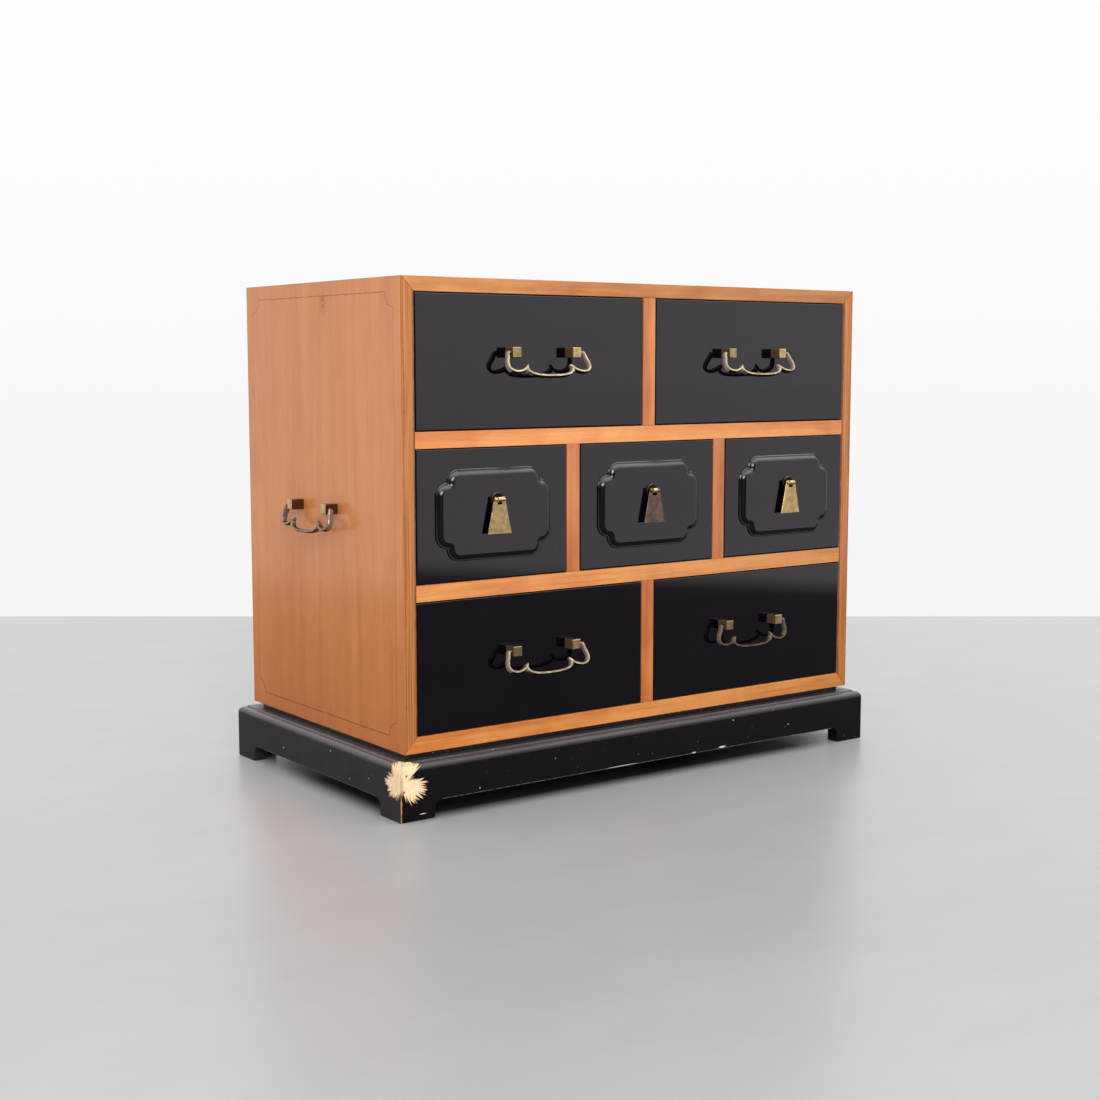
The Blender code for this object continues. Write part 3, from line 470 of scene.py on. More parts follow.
def plaque_skin(front):
    """The skin over the plaque on one drawer front. It rides on the drawer."""
    low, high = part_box(front)
    drawer_face, middle = low.y + PLAQUE_RISE, (low + high) / 2
    bm = bmesh.new()
    loops = []
    for inset, height in plaque_section():
        ring = [bm.verts.new((middle.x + a, drawer_face - height, middle.z + b)) for a, b in plaque_ring(inset)]
        loops.append([bm.edges.new((ring[i - 1], ring[i])) for i in range(len(ring))])
    for lower, upper in zip(loops, loops[1:]):
        bmesh.ops.bridge_loops(bm, edges=lower + upper)
    bmesh.ops.edgeloop_fill(bm, edges=loops[0])
    bmesh.ops.edgeloop_fill(bm, edges=loops[-1])
    bmesh.ops.recalc_face_normals(bm, faces=bm.faces)
    for face in bm.faces:
        face.smooth = True
    for sharp_loop in (*loops[:4], loops[-1]):
        for edge in sharp_loop:
            edge.smooth = False
    name = front.replace("_front", "_plaque")
    mesh = bpy.data.meshes.new(name)
    bm.to_mesh(mesh)
    bm.free()
    mesh.materials.append(nodes[front].data.materials[0])
    piece = bpy.data.objects.new(name, mesh)
    bpy.context.scene.collection.objects.link(piece)
    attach(piece, front.replace("_front", ""))
    return piece


for front in fronts:
    if "middle" in front:
        skin = plaque_skin(front)
        print(skin.name, len(skin.data.vertices), "points", len(skin.data.polygons), "faces")

# %% [markdown]
# ## The plinth and its damaged corner
# The plinth has the same lacquer, duller from feet and brooms. Dust has settled on its ledge, its lower edges are
# worn light in places, and its faces carry a few small knocks. At the near corner a blow has burst the lacquer off
# the wood in a ragged star, and the raw pale wood shows, with a brown stain along the mitre and two nail holes.
# The surface round the corner is unrolled into a flat map: to the right along the front, to the left along the side,
# and up. The star's outline is a curve of its radius against the direction, and a fine noise frays it.

# %% The star
STAR_CENTRE = (2 * MM, 52 * MM)
STAR_REACH = 50 * MM
STAR_FRAYING = 85
# The star's outline: its radius as a share of its reach, against the direction in degrees.
STAR_OUTLINE = [
    (-180, 0.84), (-169, 0.80), (-157, 0.76), (-143, 0.66), (-128, 0.50), (-110, 0.36), (-90, 0.29), (-76, 0.40),
    (-60, 0.60), (-40, 0.70), (-18, 0.76), (2, 0.72), (14, 0.52), (26, 0.38), (36, 0.44), (41, 0.74), (50, 0.76),
    (66, 0.68), (93, 0.68), (136, 0.76), (150, 0.60), (160, 0.64), (172, 0.80), (180, 0.84),
]


def star_mask(tree, flat_place):
    """1 inside the burst star, and how far inside. Its edge frays into splinters that point away from the middle."""
    offset = add(tree, "VectorMath", {0: flat_place, 1: (*STAR_CENTRE, 0)}, take="Vector", operation="SUBTRACT")
    across, up, _ = add(tree, "SeparateXYZ", {0: offset}).node.outputs
    angle = add(tree, "Math", {0: up, 1: across}, operation="ARCTAN2")
    share = add(tree, "MapRange", {"Value": angle, "From Min": -math.pi, "From Max": math.pi})
    outline = add(tree, "FloatCurve", {"Value": share})
    curve = outline.node.mapping.curves[0]
    curve.points[0].location = (0, STAR_OUTLINE[0][1])
    curve.points[1].location = (1, STAR_OUTLINE[-1][1])
    for degrees, radius in STAR_OUTLINE[1:-1]:
        curve.points.new((degrees + 180) / 360, radius)
    outline.node.mapping.update()
    fraying = {"W": share, "Scale": STAR_FRAYING, "Detail": 3.0}
    frayed = add(tree, "TexNoise", fraying, take="Fac", noise_dimensions="1D")
    splinters = {"From Min": 0.3, "From Max": 0.7, "To Min": -0.17, "To Max": 0.10}
    frayed = add(tree, "MapRange", {"Value": frayed, **splinters})
    edge = add(tree, "Math", {0: outline, 1: frayed}, operation="ADD")
    distance = add(tree, "VectorMath", {0: offset}, take="Value", operation="LENGTH")
    distance = add(tree, "Math", {0: distance, 1: STAR_REACH}, operation="DIVIDE")
    inside = add(tree, "Math", {0: edge, 1: distance}, operation="SUBTRACT")
    return add(tree, "MapRange", {"Value": inside, "From Min": -0.005, "From Max": 0.02}), inside


# %% Plinth finish
APRON_EDGE = 24 * MM
FOOT_WIDTH = 53.4 * MM
APRON_START = 66 * MM
# How far in the star runs over the plinth's top, to where it is gone, and how fast that shrinks along the sides.
STAR_TOP = (15.2 * MM, 15.8 * MM)
STAR_DROOP = 0.38
NAIL_HOLES = [(8.6, 63.6), (4.6, 42.0)]
# Small light knocks: each one's place and size on the unrolled face, in mm from the plinth's near corner.
KNOCKS = [
    ((34, 8.6), (11, 1.3)), ((571, 26.5), (15, 3.4)), ((514, 25.5), (9, 2.4)), ((126, 30), (1.4, 3)),
    ((375, 25.2), (60, 1.0)), ((593, 65.4), (2.4, 2)), ((710, 44), (2.2, 1.8)), ((-193, 63), (3, 2)),
    ((-339, 40), (3, 2)), ((-138, 34), (2.2, 1.4)), ((-85, 45), (2.2, 1.4)),
]


def from_plinth_corner(tree, place):
    """How far a place lies from the plinth's near corner, along x, y and z."""
    near_corner = (PLINTH_LEFT, PLINTH_FRONT, 0)
    offset = add(tree, "VectorMath", {0: place, 1: near_corner}, take="Vector", operation="SUBTRACT")
    return add(tree, "SeparateXYZ", {0: offset}).node.outputs


def plinth_finish(name, shift, dusty):
    """Dull black lacquer with its dust, worn edges and knocks, and the burst star at the near corner."""
    material, tree, shader, place = start_finish(name + "_lacquer")
    colour, smooth = lacquer(tree, shader, place, shift, 0.16, 0.30, dusty)
    x, y, z = from_plinth_corner(tree, place)
    round_corner = add(tree, "Math", {0: x, 1: y}, operation="SUBTRACT")
    flat_place = add(tree, "CombineXYZ", {0: round_corner, 1: z})
    set_back = add(tree, "Math", {0: x, 1: y}, operation="MINIMUM")

    chips_noise = grain_noise(tree, place, "X", 3, 3, shift + 30, 2)
    chips = add(tree, "MapRange", {"Value": chips_noise, "From Min": 0.74, "From Max": 0.76})
    colour = paint(tree, colour, chips, "#B9AFA4")
    wander = grain_noise(tree, place, "Z", 4, 6, shift + 33, 3)
    wander_limits = {"From Min": 0.3, "From Max": 0.7, "To Min": -0.8 * MM, "To Max": 0.8 * MM}
    wander = add(tree, "MapRange", {"Value": wander, **wander_limits})
    uneven = {"From Min": 0.42, "From Max": 0.62, "To Min": 0.1, "To Max": 0.9}
    uneven = add(tree, "MapRange", {"Value": chips_noise, **uneven})
    near_face = {"From Min": 0.5 * MM, "From Max": 1.5 * MM, **FALLING}
    on_face = add(tree, "MapRange", {"Value": set_back, **near_face})
    apron_edge = near_line(tree, z, APRON_EDGE, 0.9 * MM)
    past_foot = add(tree, "Math", {0: x, 1: y}, operation="MAXIMUM")
    past_foot = add(tree, "MapRange", {"Value": past_foot, "From Min": APRON_START - 4 * MM, "From Max": APRON_START})
    before_x = add(tree, "Math", {0: x, 1: PLINTH_LENGTH - APRON_START}, operation="LESS_THAN")
    before_y = add(tree, "Math", {0: y, 1: PLINTH_DEPTH - APRON_START}, operation="LESS_THAN")
    on_apron = both(tree, past_foot, before_x, before_y, on_face)
    colour = paint(tree, colour, both(tree, apron_edge, uneven, on_apron), "#B5A998")
    for at, size in KNOCKS:
        knock = spot(tree, flat_place, (at[0] * MM, at[1] * MM), (size[0] * MM, size[1] * MM))
        colour = paint(tree, colour, both(tree, knock, on_face), "#C9C4BC")
    foot_edge = near_line(tree, round_corner, FOOT_WIDTH, 0.6 * MM)
    foot_limits = {"From Min": 12 * MM, "From Max": 14 * MM, **FALLING}
    on_foot = add(tree, "MapRange", {"Value": z, **foot_limits})
    colour = paint(tree, colour, both(tree, foot_edge, on_foot, uneven), "#B89A6C")
    off_mitre = add(tree, "Math", {0: round_corner, 1: wander}, operation="ADD")
    worn_mitre = near_line(tree, off_mitre, 0, 1.0 * MM)
    star_limits = {"From Min": 34 * MM, "From Max": 38 * MM, **FALLING}
    below_star = add(tree, "MapRange", {"Value": z, **star_limits})
    at_corner = spot(tree, flat_place, (0, 20 * MM), (60 * MM, 60 * MM))
    colour = paint(tree, colour, both(tree, worn_mitre, below_star, at_corner, on_face), "#C08D50")

    normal = add(tree, "TexCoord", take="Normal")
    upward = add(tree, "SeparateXYZ", {0: normal}, take=2)
    settled = add(tree, "MapRange", {"Value": upward, "From Min": 0.75, "From Max": 1.0, "To Max": 0.10})
    colour = paint(tree, colour, settled, "#9A948E")

    star, inside = star_mask(tree, flat_place)
    fibres = grain_noise(tree, place, "Z", 1.2, 9, shift + 40, 3, 0.6)
    torn = add(tree, "Math", {0: set_back, 1: wander}, operation="ADD")
    drooping = add(tree, "Math", {0: round_corner, 1: STAR_DROOP}, operation="MULTIPLY")
    drooping = add(tree, "Math", {0: drooping}, operation="ABSOLUTE")
    torn = add(tree, "Math", {0: torn, 1: drooping}, operation="ADD")
    top_limits = {"From Min": STAR_TOP[0], "From Max": STAR_TOP[1], **FALLING}
    star = both(tree, star, add(tree, "MapRange", {"Value": torn, **top_limits}))
    raw = ramp(tree, fibres, [(0.32, "#DDB07A"), (0.50, "#F6DAAE"), (0.70, "#FDEBCB")])
    rim = add(tree, "MapRange", {"Value": inside, "From Min": 0.02, "From Max": 0.12, "To Min": 0.7, "To Max": 0.0})
    raw = paint(tree, raw, rim, "#D09A5E")
    stain = near_line(tree, off_mitre, 1.5 * MM, 2.2 * MM)
    stain_limits = {"From Min": 56 * MM, "From Max": 66 * MM, "To Min": 0.55, "To Max": 0.15}
    stronger_below = add(tree, "MapRange", {"Value": z, **stain_limits})
    raw = paint(tree, raw, both(tree, stain, stronger_below), "#B5714A")
    for at in NAIL_HOLES:
        raw = paint(tree, raw, spot(tree, flat_place, (at[0] * MM, at[1] * MM), (3.4 * MM, 3.4 * MM)), "#7A2A20")
    colour = add(tree, "Mix", {"Factor": star, 6: colour, 7: raw}, take=2, data_type="RGBA")
    tree.links.new(colour, shader.inputs["Base Color"])
    gloss = add(tree, "MapRange", {"Value": fibres, "To Min": 0.55, "To Max": 0.8})
    lacquer_gloss = shader.inputs["Roughness"].links[0].from_socket
    gloss = add(tree, "Mix", {0: star, 2: lacquer_gloss, 3: gloss}, data_type="FLOAT")
    tree.links.new(gloss, shader.inputs["Roughness"])
    sunk = add(tree, "Math", {0: star, 1: fibres}, operation="SUBTRACT")
    sunk = add(tree, "Math", {0: sunk, 1: star}, operation="MULTIPLY")
    bump = add(tree, "Bump", {"Strength": 0.7, "Distance": 1.2 * MM, "Height": sunk, "Normal": smooth}, invert=True)
    tree.links.new(bump, shader.inputs["Normal"])
    return material


# How dusty each board's lacquer is.
plinth_dust = {"plinth_back": 0.02, "plinth_front": 0.0, "plinth_left": 0.16, "plinth_right": 0.05}
for i, (name, dusty) in enumerate(plinth_dust.items()):
    put_on(plinth_finish(name, 1.9 * i + 15.3, dusty), name)
print("lacquer on", len(plinth_dust), "plinth boards")

# %% [markdown]
# ## The drawers inside
# The boxes, their bottoms and the chest's back are plain secondary wood, planed and left bare or thinly sealed.

# %% Secondary wood
BOX_BOARD = 12 * MM


def plain_streaks(tree, place, along, shift):
    """The pattern of bare wood: broad bands and finer streaks along its grain."""
    bands = grain_noise(tree, place, along, 45, 700, shift, 3, 0.5, 0.5)
    streaks = grain_noise(tree, place, along, 6, 240, shift + 3, 3, 0.55)
    return add(tree, "Mix", {0: 0.4, 2: bands, 3: streaks}, data_type="FLOAT")


def plain_wood(name, along, shift, back_from):
    """Bare wood with its grain along one axis. Behind a given depth the grain runs across, for a box's back."""
    material, tree, shader, place = start_finish(name)
    streaks = plain_streaks(tree, place, along, shift)
    if back_from is not None:
        across = plain_streaks(tree, place, "X", shift + 1)
        depth = add(tree, "SeparateXYZ", {0: place}, take=1)
        is_back = add(tree, "Math", {0: depth, 1: back_from}, operation="GREATER_THAN")
        streaks = add(tree, "Mix", {0: is_back, 2: streaks, 3: across}, data_type="FLOAT")
    colour = ramp(tree, streaks, [(0.32, "#B48C5E"), (0.50, "#C9A67A"), (0.68, "#D8BA90")])
    tree.links.new(colour, shader.inputs["Base Color"])
    gloss = add(tree, "MapRange", {"Value": streaks, "To Min": 0.52, "To Max": 0.68})
    tree.links.new(gloss, shader.inputs["Roughness"])
    bump = add(tree, "Bump", {"Strength": 0.15, "Distance": 0.3 * MM, "Height": streaks})
    tree.links.new(bump, shader.inputs["Normal"])
    return material


insides = sorted(name for name in nodes if name.startswith("drawer") and name.endswith(("_box", "_bottom")))
for i, name in enumerate(insides + ["case_back"]):
    is_box = name.endswith("_box")
    back_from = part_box(name)[1].y - BOX_BOARD if is_box else None
    put_on(plain_wood(name + "_wood", "Y" if is_box else "X", 1.3 * i + 0.2, back_from), name)
print("plain wood on", len(insides) + 1, "parts")

# %% [markdown]
# ## Brass hardware
# The pulls, handles and drops are cast brass, once lacquered. On the faces that point outward it is pale and bright,
# partly rubbed by hands and partly a painted highlight. The backs, sides and undersides are dark brown, partly patina
# and partly painted shade. Mirrored rays see the brass almost black, a painted darkening of its reflections in the
# black drawers. A thick patina is an oxide and less of a metal. The lower right pull, the handles and the middle drop
# are greyer. The mask is the direction in which the surface faces, made uneven by a fine noise.

# %% Metal finishes
MIRRORED_DARKENING = 0.94
TARNISHED_METALLIC = 0.4


def old_brass(name, outward, across, tones, bright_from, gloss, shift):
    """Cast brass. Tones: rubbed bright, rubbed dull, patina light, patina dark, and the dull sides. The bright tones
    are partly rubbed brass and partly painted highlight, and the other tones partly painted light and shade.

    Outward is the direction in which the bright faces look, and bright_from how squarely a face has to look that way,
    as a cosine. Across is the direction in which its dull sides face.
    """
    bright, dull, patina_light, patina_dark, dull_side = tones
    material, tree, shader, place = start_finish(name)
    patches = grain_noise(tree, place, "X", 9, 9, shift, 4, 0.6)
    fine = grain_noise(tree, place, "Z", 1.2, 4, shift + 4, 3, 0.6)
    bright_tone = ramp(tree, patches, [(0.38, dull), (0.60, bright)])
    patina = ramp(tree, fine, [(0.35, patina_dark), (0.65, patina_light)])
    normal = add(tree, "TexCoord", take="Normal")
    direction = Vector(outward).normalized()
    facing = add(tree, "VectorMath", {0: normal, 1: direction}, take="Value", operation="DOT_PRODUCT")
    uneven = {"From Min": 0.3, "From Max": 0.7, "To Min": -0.08, "To Max": 0.08}
    uneven = add(tree, "MapRange", {"Value": fine, **uneven})
    facing = add(tree, "Math", {0: facing, 1: uneven}, operation="ADD")
    # Partly painted highlight: faces that look outward get the bright tones, and the rest get patina and painted shade.
    rubbed = add(tree, "MapRange", {"Value": facing, "From Min": bright_from - 0.10, "From Max": bright_from + 0.10})
    sideways = add(tree, "VectorMath", {0: normal, 1: across}, take="Value", operation="DOT_PRODUCT")
    sideways = add(tree, "Math", {0: sideways}, operation="ABSOLUTE")
    sideways = add(tree, "MapRange", {"Value": sideways, "From Min": 0.35, "From Max": 0.70})
    colour = paint(tree, patina, sideways, dull_side)
    colour = add(tree, "Mix", {"Factor": rubbed, 6: colour, 7: bright_tone}, take=2, data_type="RGBA")
    is_mirrored = add(tree, "LightPath").node.outputs["Is Glossy Ray"]
    # Painted darkening of reflections: mirrored rays see the brass almost black.
    colour = paint(tree, colour, both(tree, is_mirrored, MIRRORED_DARKENING), "#0A0604")
    tree.links.new(colour, shader.inputs["Base Color"])
    unrubbed = add(tree, "MapRange", {"Value": rubbed, **FALLING})
    tarnished = both(tree, sideways, unrubbed)
    metallic = add(tree, "MapRange", {"Value": tarnished, "To Min": 1.0, "To Max": TARNISHED_METALLIC})
    tree.links.new(metallic, shader.inputs["Metallic"])
    roughness = add(tree, "MapRange", {"Value": fine, "To Min": gloss - 0.07, "To Max": gloss + 0.07})
    tree.links.new(roughness, shader.inputs["Roughness"])
    bump = add(tree, "Bump", {"Strength": 0.12, "Distance": 0.12 * MM, "Height": fine})
    tree.links.new(bump, shader.inputs["Normal"])
    return material


def brighten_nose_tip(material, depth):
    """The tip of a drop's nose is painted pale and bright."""
    tree = material.node_tree
    shader = tree.nodes["Principled BSDF"]
    place = add(tree, "TexCoord", take="Object")
    y = add(tree, "SeparateXYZ", {0: place}, take=1)
    tip = add(tree, "MapRange", {"Value": y, "From Min": depth, "From Max": depth + MM, "To Min": 0.85, "To Max": 0.0})
    colour = paint(tree, shader.inputs["Base Color"].links[0].from_socket, tip, "#D6BC8A")
    tree.links.new(colour, shader.inputs["Base Color"])


# %% Pulls, handles and drops
CREAM = ("#B8A68A", "#8E7B62", "#4A3018", "#241509", "#A18F80")
GREY_BROWN = ("#9C8B78", "#766655", "#3A2A1D", "#1E140C", "#7C6D62")
BRIGHT_BRASS = ("#DDBF8A", "#C0A070", "#7E5C2C", "#553A18", "#6C533C")
DULL_BRASS = ("#BA9F74", "#9A8462", "#7E5C2C", "#553A18", "#6C533C")
WARM_BRASS = ("#DDBF8A", "#C0A070", "#7E5C2C", "#553A18", "#462A12")
BRONZE = ("#8A7265", "#6C594E", "#3E3029", "#2A1F19", "#3E3029")
ROSE_BROWN = ("#8A745C", "#6B5644", "#3A2B20", "#22170F", "#3A2B20")


def bail_front(tilt):
    """The direction in which the face of a bail looks when it hangs out by an angle in degrees."""
    return (0, -math.cos(math.radians(tilt)), math.sin(math.radians(tilt)))


ALONG_X, ALONG_Y, TO_FRONT = (1, 0, 0), (0, 1, 0), (0, -1, 0)
# The angle by which each pull's bail hangs out, and its tones.
bail_looks = {
    "pull_top_left": (25, CREAM), "pull_top_right": (25, CREAM),
    "pull_bottom_left": (20, CREAM), "pull_bottom_right": (0, GREY_BROWN),
}
for i, (pull, (tilt, tones)) in enumerate(bail_looks.items()):
    put_on(old_brass(pull + "_bail_brass", bail_front(tilt), ALONG_X, tones, 0.84, 0.47, 2.3 * i), pull + "_bail")
    for post, post_tones in ((pull + "_post_left", DULL_BRASS), (pull + "_post_right", BRIGHT_BRASS)):
        put_on(old_brass(post + "_brass", TO_FRONT, ALONG_X, post_tones, 0.75, 0.32, 2.3 * i + 11), post)
for side, away in (("left", -1), ("right", 1)):
    handle = "handle_" + side
    bail_finish = old_brass(handle + "_bail_brass", (away, 0, 0.4), ALONG_Y, GREY_BROWN, 0.62, 0.30, 5 + away)
    put_on(bail_finish, handle + "_bail")
    post_finish = old_brass(handle + "_post_brass", (away, 0, 0), ALONG_Y, WARM_BRASS, 0.6, 0.34, 8 + away)
    put_on(post_finish, handle + "_post_left", handle + "_post_right")
drop_looks = {"drop_left": BRIGHT_BRASS, "drop_centre": BRONZE, "drop_right": BRIGHT_BRASS}
for i, (drop, tones) in enumerate(drop_looks.items()):
    put_on(old_brass(drop + "_plate_brass", TO_FRONT, ALONG_X, tones, 0.6, 0.38, 3.1 * i + 21), drop + "_plate")
    post_finish = old_brass(drop + "_post_brass", (0, -0.3, 1), ALONG_X, ROSE_BROWN, 0.75, 0.34, 3.1 * i + 31)
    brighten_nose_tip(post_finish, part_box(drop + "_post")[0].y + 2 * MM)
    put_on(post_finish, drop + "_post")
print("metal on", len(bail_looks), "pulls, two handles and", len(drop_looks), "drops")

# %% [markdown]
# ## The studio
# The floor is smooth pale grey and slightly glossy, so the chest leaves a soft reflection in it. A white wall stands
# behind the chest, across the camera's line of sight. It is drawn for the camera only, and only from its front: from
# behind it is clear, so a view of the chest's back looks straight through it. Away from the chest both fade into the
# white of the backdrop, like the sweep of a paper roll.
# What the lacquer and the brass mirror is a studio of its own: white walls on both sides with a dark floor between
# them, brighter overhead, and dark behind the camera. Only mirrored rays see that.

# %% Helpers for the studio
WALL_DISTANCE = 3.99
wall_at = WALL_DISTANCE + camera.location.dot(view_along)


def stage_plane(name, width, height, material):
    """A flat sheet that belongs to the studio and not to the chest."""
    mesh = bpy.data.meshes.new(name)
    bm = bmesh.new()
    stretch = Matrix.Diagonal((width / 2, height / 2, 1, 1))
    bmesh.ops.create_grid(bm, x_segments=1, y_segments=1, size=1, matrix=stretch)
    bm.to_mesh(mesh)
    bm.free()
    plane = bpy.data.objects.new(name, mesh)
    mesh.materials.append(material)
    bpy.context.scene.collection.objects.link(plane)
    return plane


def dark_behind_camera(tree, direction):
    """Full light all round, and almost none from behind the camera."""
    towards_camera = add(tree, "VectorMath", {0: direction, 1: -view_along}, take="Value", operation="DOT_PRODUCT")
    limits = {"From Min": 0.55, "From Max": 0.78, "To Min": 1.0, "To Max": 0.03}
    return add(tree, "MapRange", {"Value": towards_camera, **limits})


print("the wall stands", round(wall_at, 3), "m behind the chest's middle")

# %% [markdown]
# ## The floor
# The floor is very faintly mottled. It is painted a little darker towards the camera, a painted shade. The lamps and
# the world leave it too light under the chest, so its material is darkened there, a painted shade with four soft edges
# in from the sides of the plinth.

# %% Floor
FLOOR_REACH = 60
FLOOR_FADES = (2.4, 5.0)
MIRRORED_WALLS = (2.15, 2.50)
MIRRORED_WHITE = 0.93
MIRRORED_DARK_FLOOR = 0.85
# The deep shade: how full it is, and where each edge starts and is full, from the plinth's near corner.
SHADE = 0.97
SHADE_LEFT = (-15 * MM, 30 * MM)
SHADE_FRONT = (-15 * MM, 24 * MM)
SHADE_RIGHT = (PLINTH_LENGTH - 30 * MM, PLINTH_LENGTH - 130 * MM)
SHADE_BACK = (PLINTH_DEPTH - 70 * MM, PLINTH_DEPTH - 220 * MM)

floor_material, tree, shader, place = start_finish("studio_floor")
mottling = grain_noise(tree, place, "X", 60, 140, 3, 4, 0.6)
floor_colour = ramp(tree, mottling, [(0.35, "#B5B6B7"), (0.65, "#B8B9BA")])
distance = add(tree, "VectorMath", {0: place, 1: view_along}, take="Value", operation="DOT_PRODUCT")
# Painted shade: the floor's colour darkens towards the camera.
lightness = {"From Min": -0.85, "From Max": -0.25, "To Min": 0.94, "To Max": 1.06}
lightness = add(tree, "MapRange", {"Value": distance, **lightness})
floor_colour = add(tree, "HueSaturation", {"Color": floor_colour, "Value": lightness})
in_x, in_y, _ = from_plinth_corner(tree, place)
deep_shade = SHADE
for inward, edge in ((in_x, SHADE_LEFT), (in_x, SHADE_RIGHT), (in_y, SHADE_FRONT), (in_y, SHADE_BACK)):
    inside = add(tree, "MapRange", {"Value": inward, "From Min": edge[0], "From Max": edge[1]})
    deep_shade = both(tree, deep_shade, inside)
floor_colour = paint(tree, floor_colour, deep_shade, "#0A0A0B")
sheen = add(tree, "MapRange", {"Value": deep_shade, "To Min": 0.5, "To Max": 0.03})
tree.links.new(sheen, shader.inputs["Specular IOR Level"])
tree.links.new(floor_colour, shader.inputs["Base Color"])
cloud = grain_noise(tree, place, "X", 400, 400, 0, 2)
tree.links.new(add(tree, "MapRange", {"Value": cloud, "To Min": 0.28, "To Max": 0.36}), shader.inputs["Roughness"])
is_mirrored = add(tree, "LightPath").node.outputs["Is Glossy Ray"]
shade = add(tree, "BsdfDiffuse", {"Color": hex_colour("#2A2A2C")})
dimmed = both(tree, is_mirrored, MIRRORED_DARK_FLOOR)
near_floor = add(tree, "MixShader", {"Fac": dimmed, 1: shader.outputs[0], 2: shade})
outward = add(tree, "VectorMath", {0: place}, take="Vector", operation="NORMALIZE")
mirrored_level = both(tree, dark_behind_camera(tree, outward), MIRRORED_WHITE)
far_level = add(tree, "Mix", {0: is_mirrored, 2: 1.0, 3: mirrored_level}, data_type="FLOAT")
far_white = add(tree, "Emission", {"Color": hex_colour("#F5F5F5"), "Strength": far_level})
radius = add(tree, "VectorMath", {0: place}, take="Value", operation="LENGTH")
aside = add(tree, "VectorMath", {0: place, 1: view_right}, take="Value", operation="DOT_PRODUCT")
aside = add(tree, "Math", {0: aside}, operation="ABSOLUTE")
far_off = add(tree, "MapRange", {"Value": aside, "From Min": MIRRORED_WALLS[0], "From Max": MIRRORED_WALLS[1]})
beyond = add(tree, "Math", {0: distance, 1: wall_at}, operation="GREATER_THAN")
mirrored_white = add(tree, "Math", {0: far_off, 1: beyond}, operation="MAXIMUM")
swept_up = {"Value": radius, "From Min": FLOOR_FADES[0], "From Max": FLOOR_FADES[1]}
swept_up = add(tree, "MapRange", swept_up, interpolation_type="SMOOTHSTEP")
white_part = add(tree, "Mix", {0: is_mirrored, 2: swept_up, 3: mirrored_white}, data_type="FLOAT")
mixed = add(tree, "MixShader", {"Fac": white_part, 1: near_floor, 2: far_white})
tree.links.new(mixed, tree.nodes["Material Output"].inputs["Surface"])
stage_plane("studio_floor", FLOOR_REACH, FLOOR_REACH, floor_material)
print("floor ready")

# %% [markdown]
# ## The wall
# The wall gets lighter upwards and fades out to both sides. No light and no mirror sees it.

# %% Wall
WALL_WIDTH = 7
WALL_HEIGHT = 12
WALL_FADES = (1.6, 3.0)
WALL_TONES_UP_TO = 2.5
WALL_TONES = [(0.0, "#F5F5F5"), (0.08, "#F6F6F6"), (0.25, "#F9F9F9"), (0.40, "#FCFCFC"), (0.65, "#FFFFFF")]

wall_material, tree, shader, place = start_finish("studio_wall")
height = add(tree, "SeparateXYZ", {0: place}, take=1)
up_share = add(tree, "Math", {0: height, 1: WALL_TONES_UP_TO}, operation="DIVIDE")
wall_white = add(tree, "Emission", {"Color": ramp(tree, up_share, WALL_TONES), "Strength": 1.0})
clear = add(tree, "BsdfTransparent")
from_behind = add(tree, "NewGeometry", take="Backfacing")
sideways = add(tree, "SeparateXYZ", {0: place}, take=0)
sideways = add(tree, "Math", {0: sideways}, operation="ABSOLUTE")
fading = {"Value": sideways, "From Min": WALL_FADES[0], "From Max": WALL_FADES[1]}
fading = add(tree, "MapRange", fading, interpolation_type="SMOOTHSTEP")
not_there = add(tree, "Math", {0: from_behind, 1: fading}, operation="MAXIMUM")
wall_look = add(tree, "MixShader", {"Fac": not_there, 1: wall_white, 2: clear})
tree.links.new(wall_look, tree.nodes["Material Output"].inputs["Surface"])
wall = stage_plane("studio_wall", WALL_WIDTH, WALL_HEIGHT, wall_material)
wall.data.transform(Matrix.Translation((0, WALL_HEIGHT / 2, 0)))
wall.rotation_euler = (math.radians(90), 0, -VIEW_TURN)
wall.location = view_along * wall_at
for kind in ("diffuse", "glossy", "transmission", "volume_scatter", "shadow"):
    setattr(wall, "visible_" + kind, False)
print("wall ready,", WALL_DISTANCE, "m from the camera")

# %% [markdown]
# ## The world
# The world lights the whole scene softly and evenly. The camera sees it as a white backdrop, and mirrored rays see the
# rest of the made-up studio in it.

# %% World
AMBIENT = 0.80
OVERHEAD = 3.2

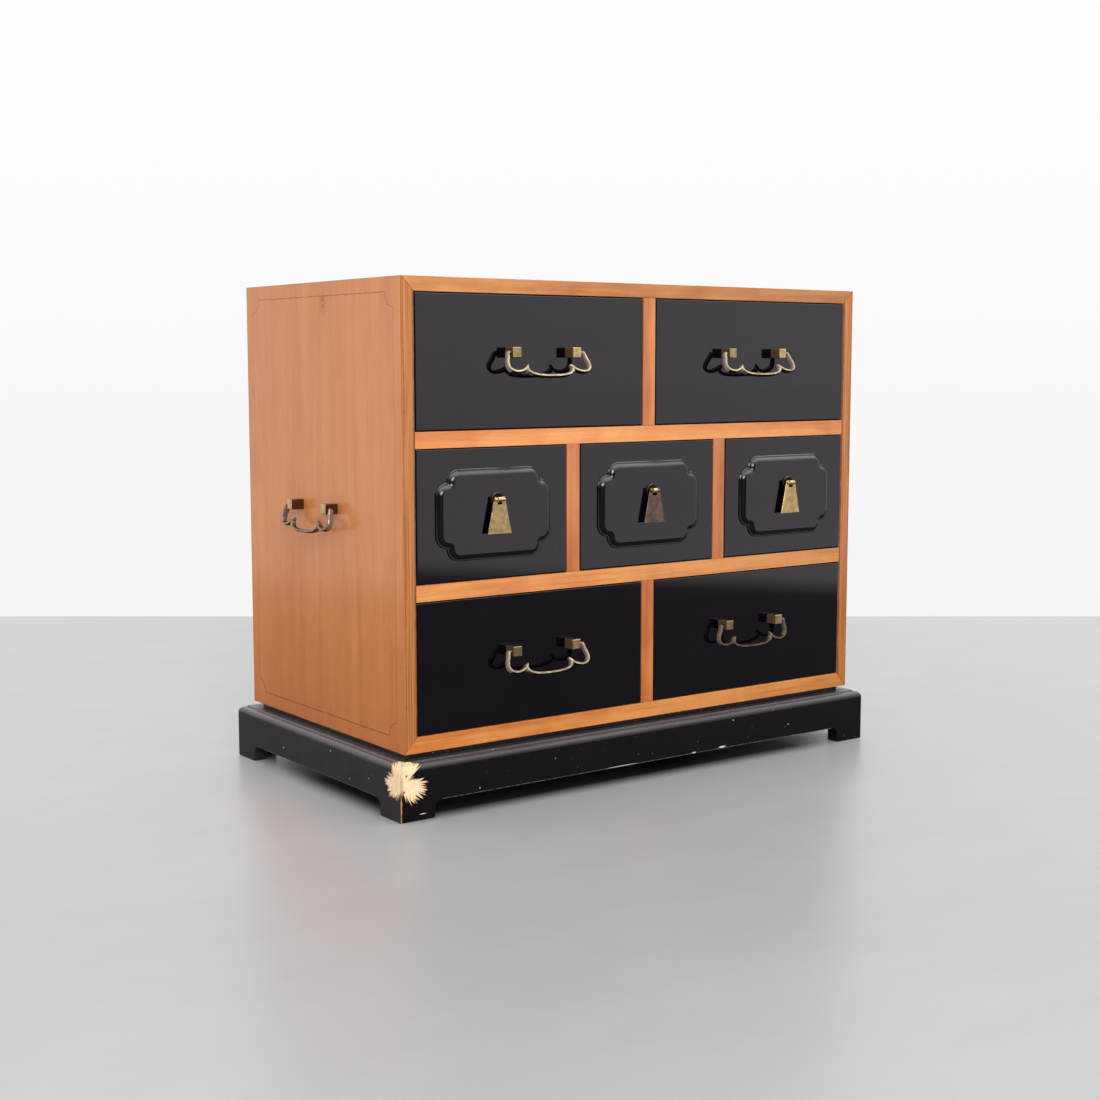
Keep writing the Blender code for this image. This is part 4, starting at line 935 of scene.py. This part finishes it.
world = bpy.data.worlds.new("studio")
bpy.context.scene.world = world
world.use_nodes = True
tree = world.node_tree
tree.nodes.clear()
light_path = add(tree, "LightPath").node
is_camera = light_path.outputs["Is Camera Ray"]
is_mirrored = light_path.outputs["Is Glossy Ray"]
seen = add(tree, "Math", {0: is_camera, 1: is_mirrored}, operation="MAXIMUM")
direction = add(tree, "TexCoord", take="Generated")
height = add(tree, "SeparateXYZ", {0: direction}, take=2)
backdrop = ramp(tree, height, [(0.0, "#F5F5F5"), (0.10, "#FAFAFA"), (0.25, "#FFFFFF")])
overhead = {"From Min": 0.38, "From Max": 0.75, "To Min": 1.0, "To Max": OVERHEAD}
overhead = add(tree, "MapRange", {"Value": height, **overhead})
mirrored = both(tree, overhead, dark_behind_camera(tree, direction))
level = add(tree, "Mix", {0: is_mirrored, 2: 1.0, 3: mirrored}, data_type="FLOAT")
shown = add(tree, "Background", {"Color": backdrop, "Strength": level})
ambient = add(tree, "Background", {"Color": hex_colour("#FFFFFF"), "Strength": AMBIENT})
mixed = add(tree, "MixShader", {"Fac": seen, 1: ambient, 2: shown})
output = tree.nodes.new("ShaderNodeOutputWorld")
tree.links.new(mixed, output.inputs["Surface"])
print("world ready, ambient light", AMBIENT)

# %% [markdown]
# ## The lamps
# A large soft lamp stands to the left, well behind the camera, and gives most of the light. A weak one on the right
# brightens the floor there. It is kept out of the mirrors, or it would show as a white patch in the floor.

# %% Lamps
LIT_MIDDLE = Vector((0, 0, 0.40))


def soft_lamp(name, place, target, width, height, power):
    """A rectangular lamp that faces a target. Its size is in metres and its power in watts."""
    data = bpy.data.lights.new(name, "AREA")
    data.shape = "RECTANGLE"
    data.size = width
    data.size_y = height
    data.energy = power
    lamp = bpy.data.objects.new(name, data)
    lamp.location = place
    lamp.rotation_euler = (target - place).to_track_quat("-Z", "Y").to_euler()
    bpy.context.scene.collection.objects.link(lamp)
    return lamp


soft_lamp("front_lamp", Vector((-2.6, -4.5, 2.6)), LIT_MIDDLE, 3.0, 2.0, 190)
right_lamp = soft_lamp("right_lamp", Vector((3.00, -0.95, 0.75)), LIT_MIDDLE, 0.8, 1.2, 8)
right_lamp.visible_glossy = False
print("lamps ready")
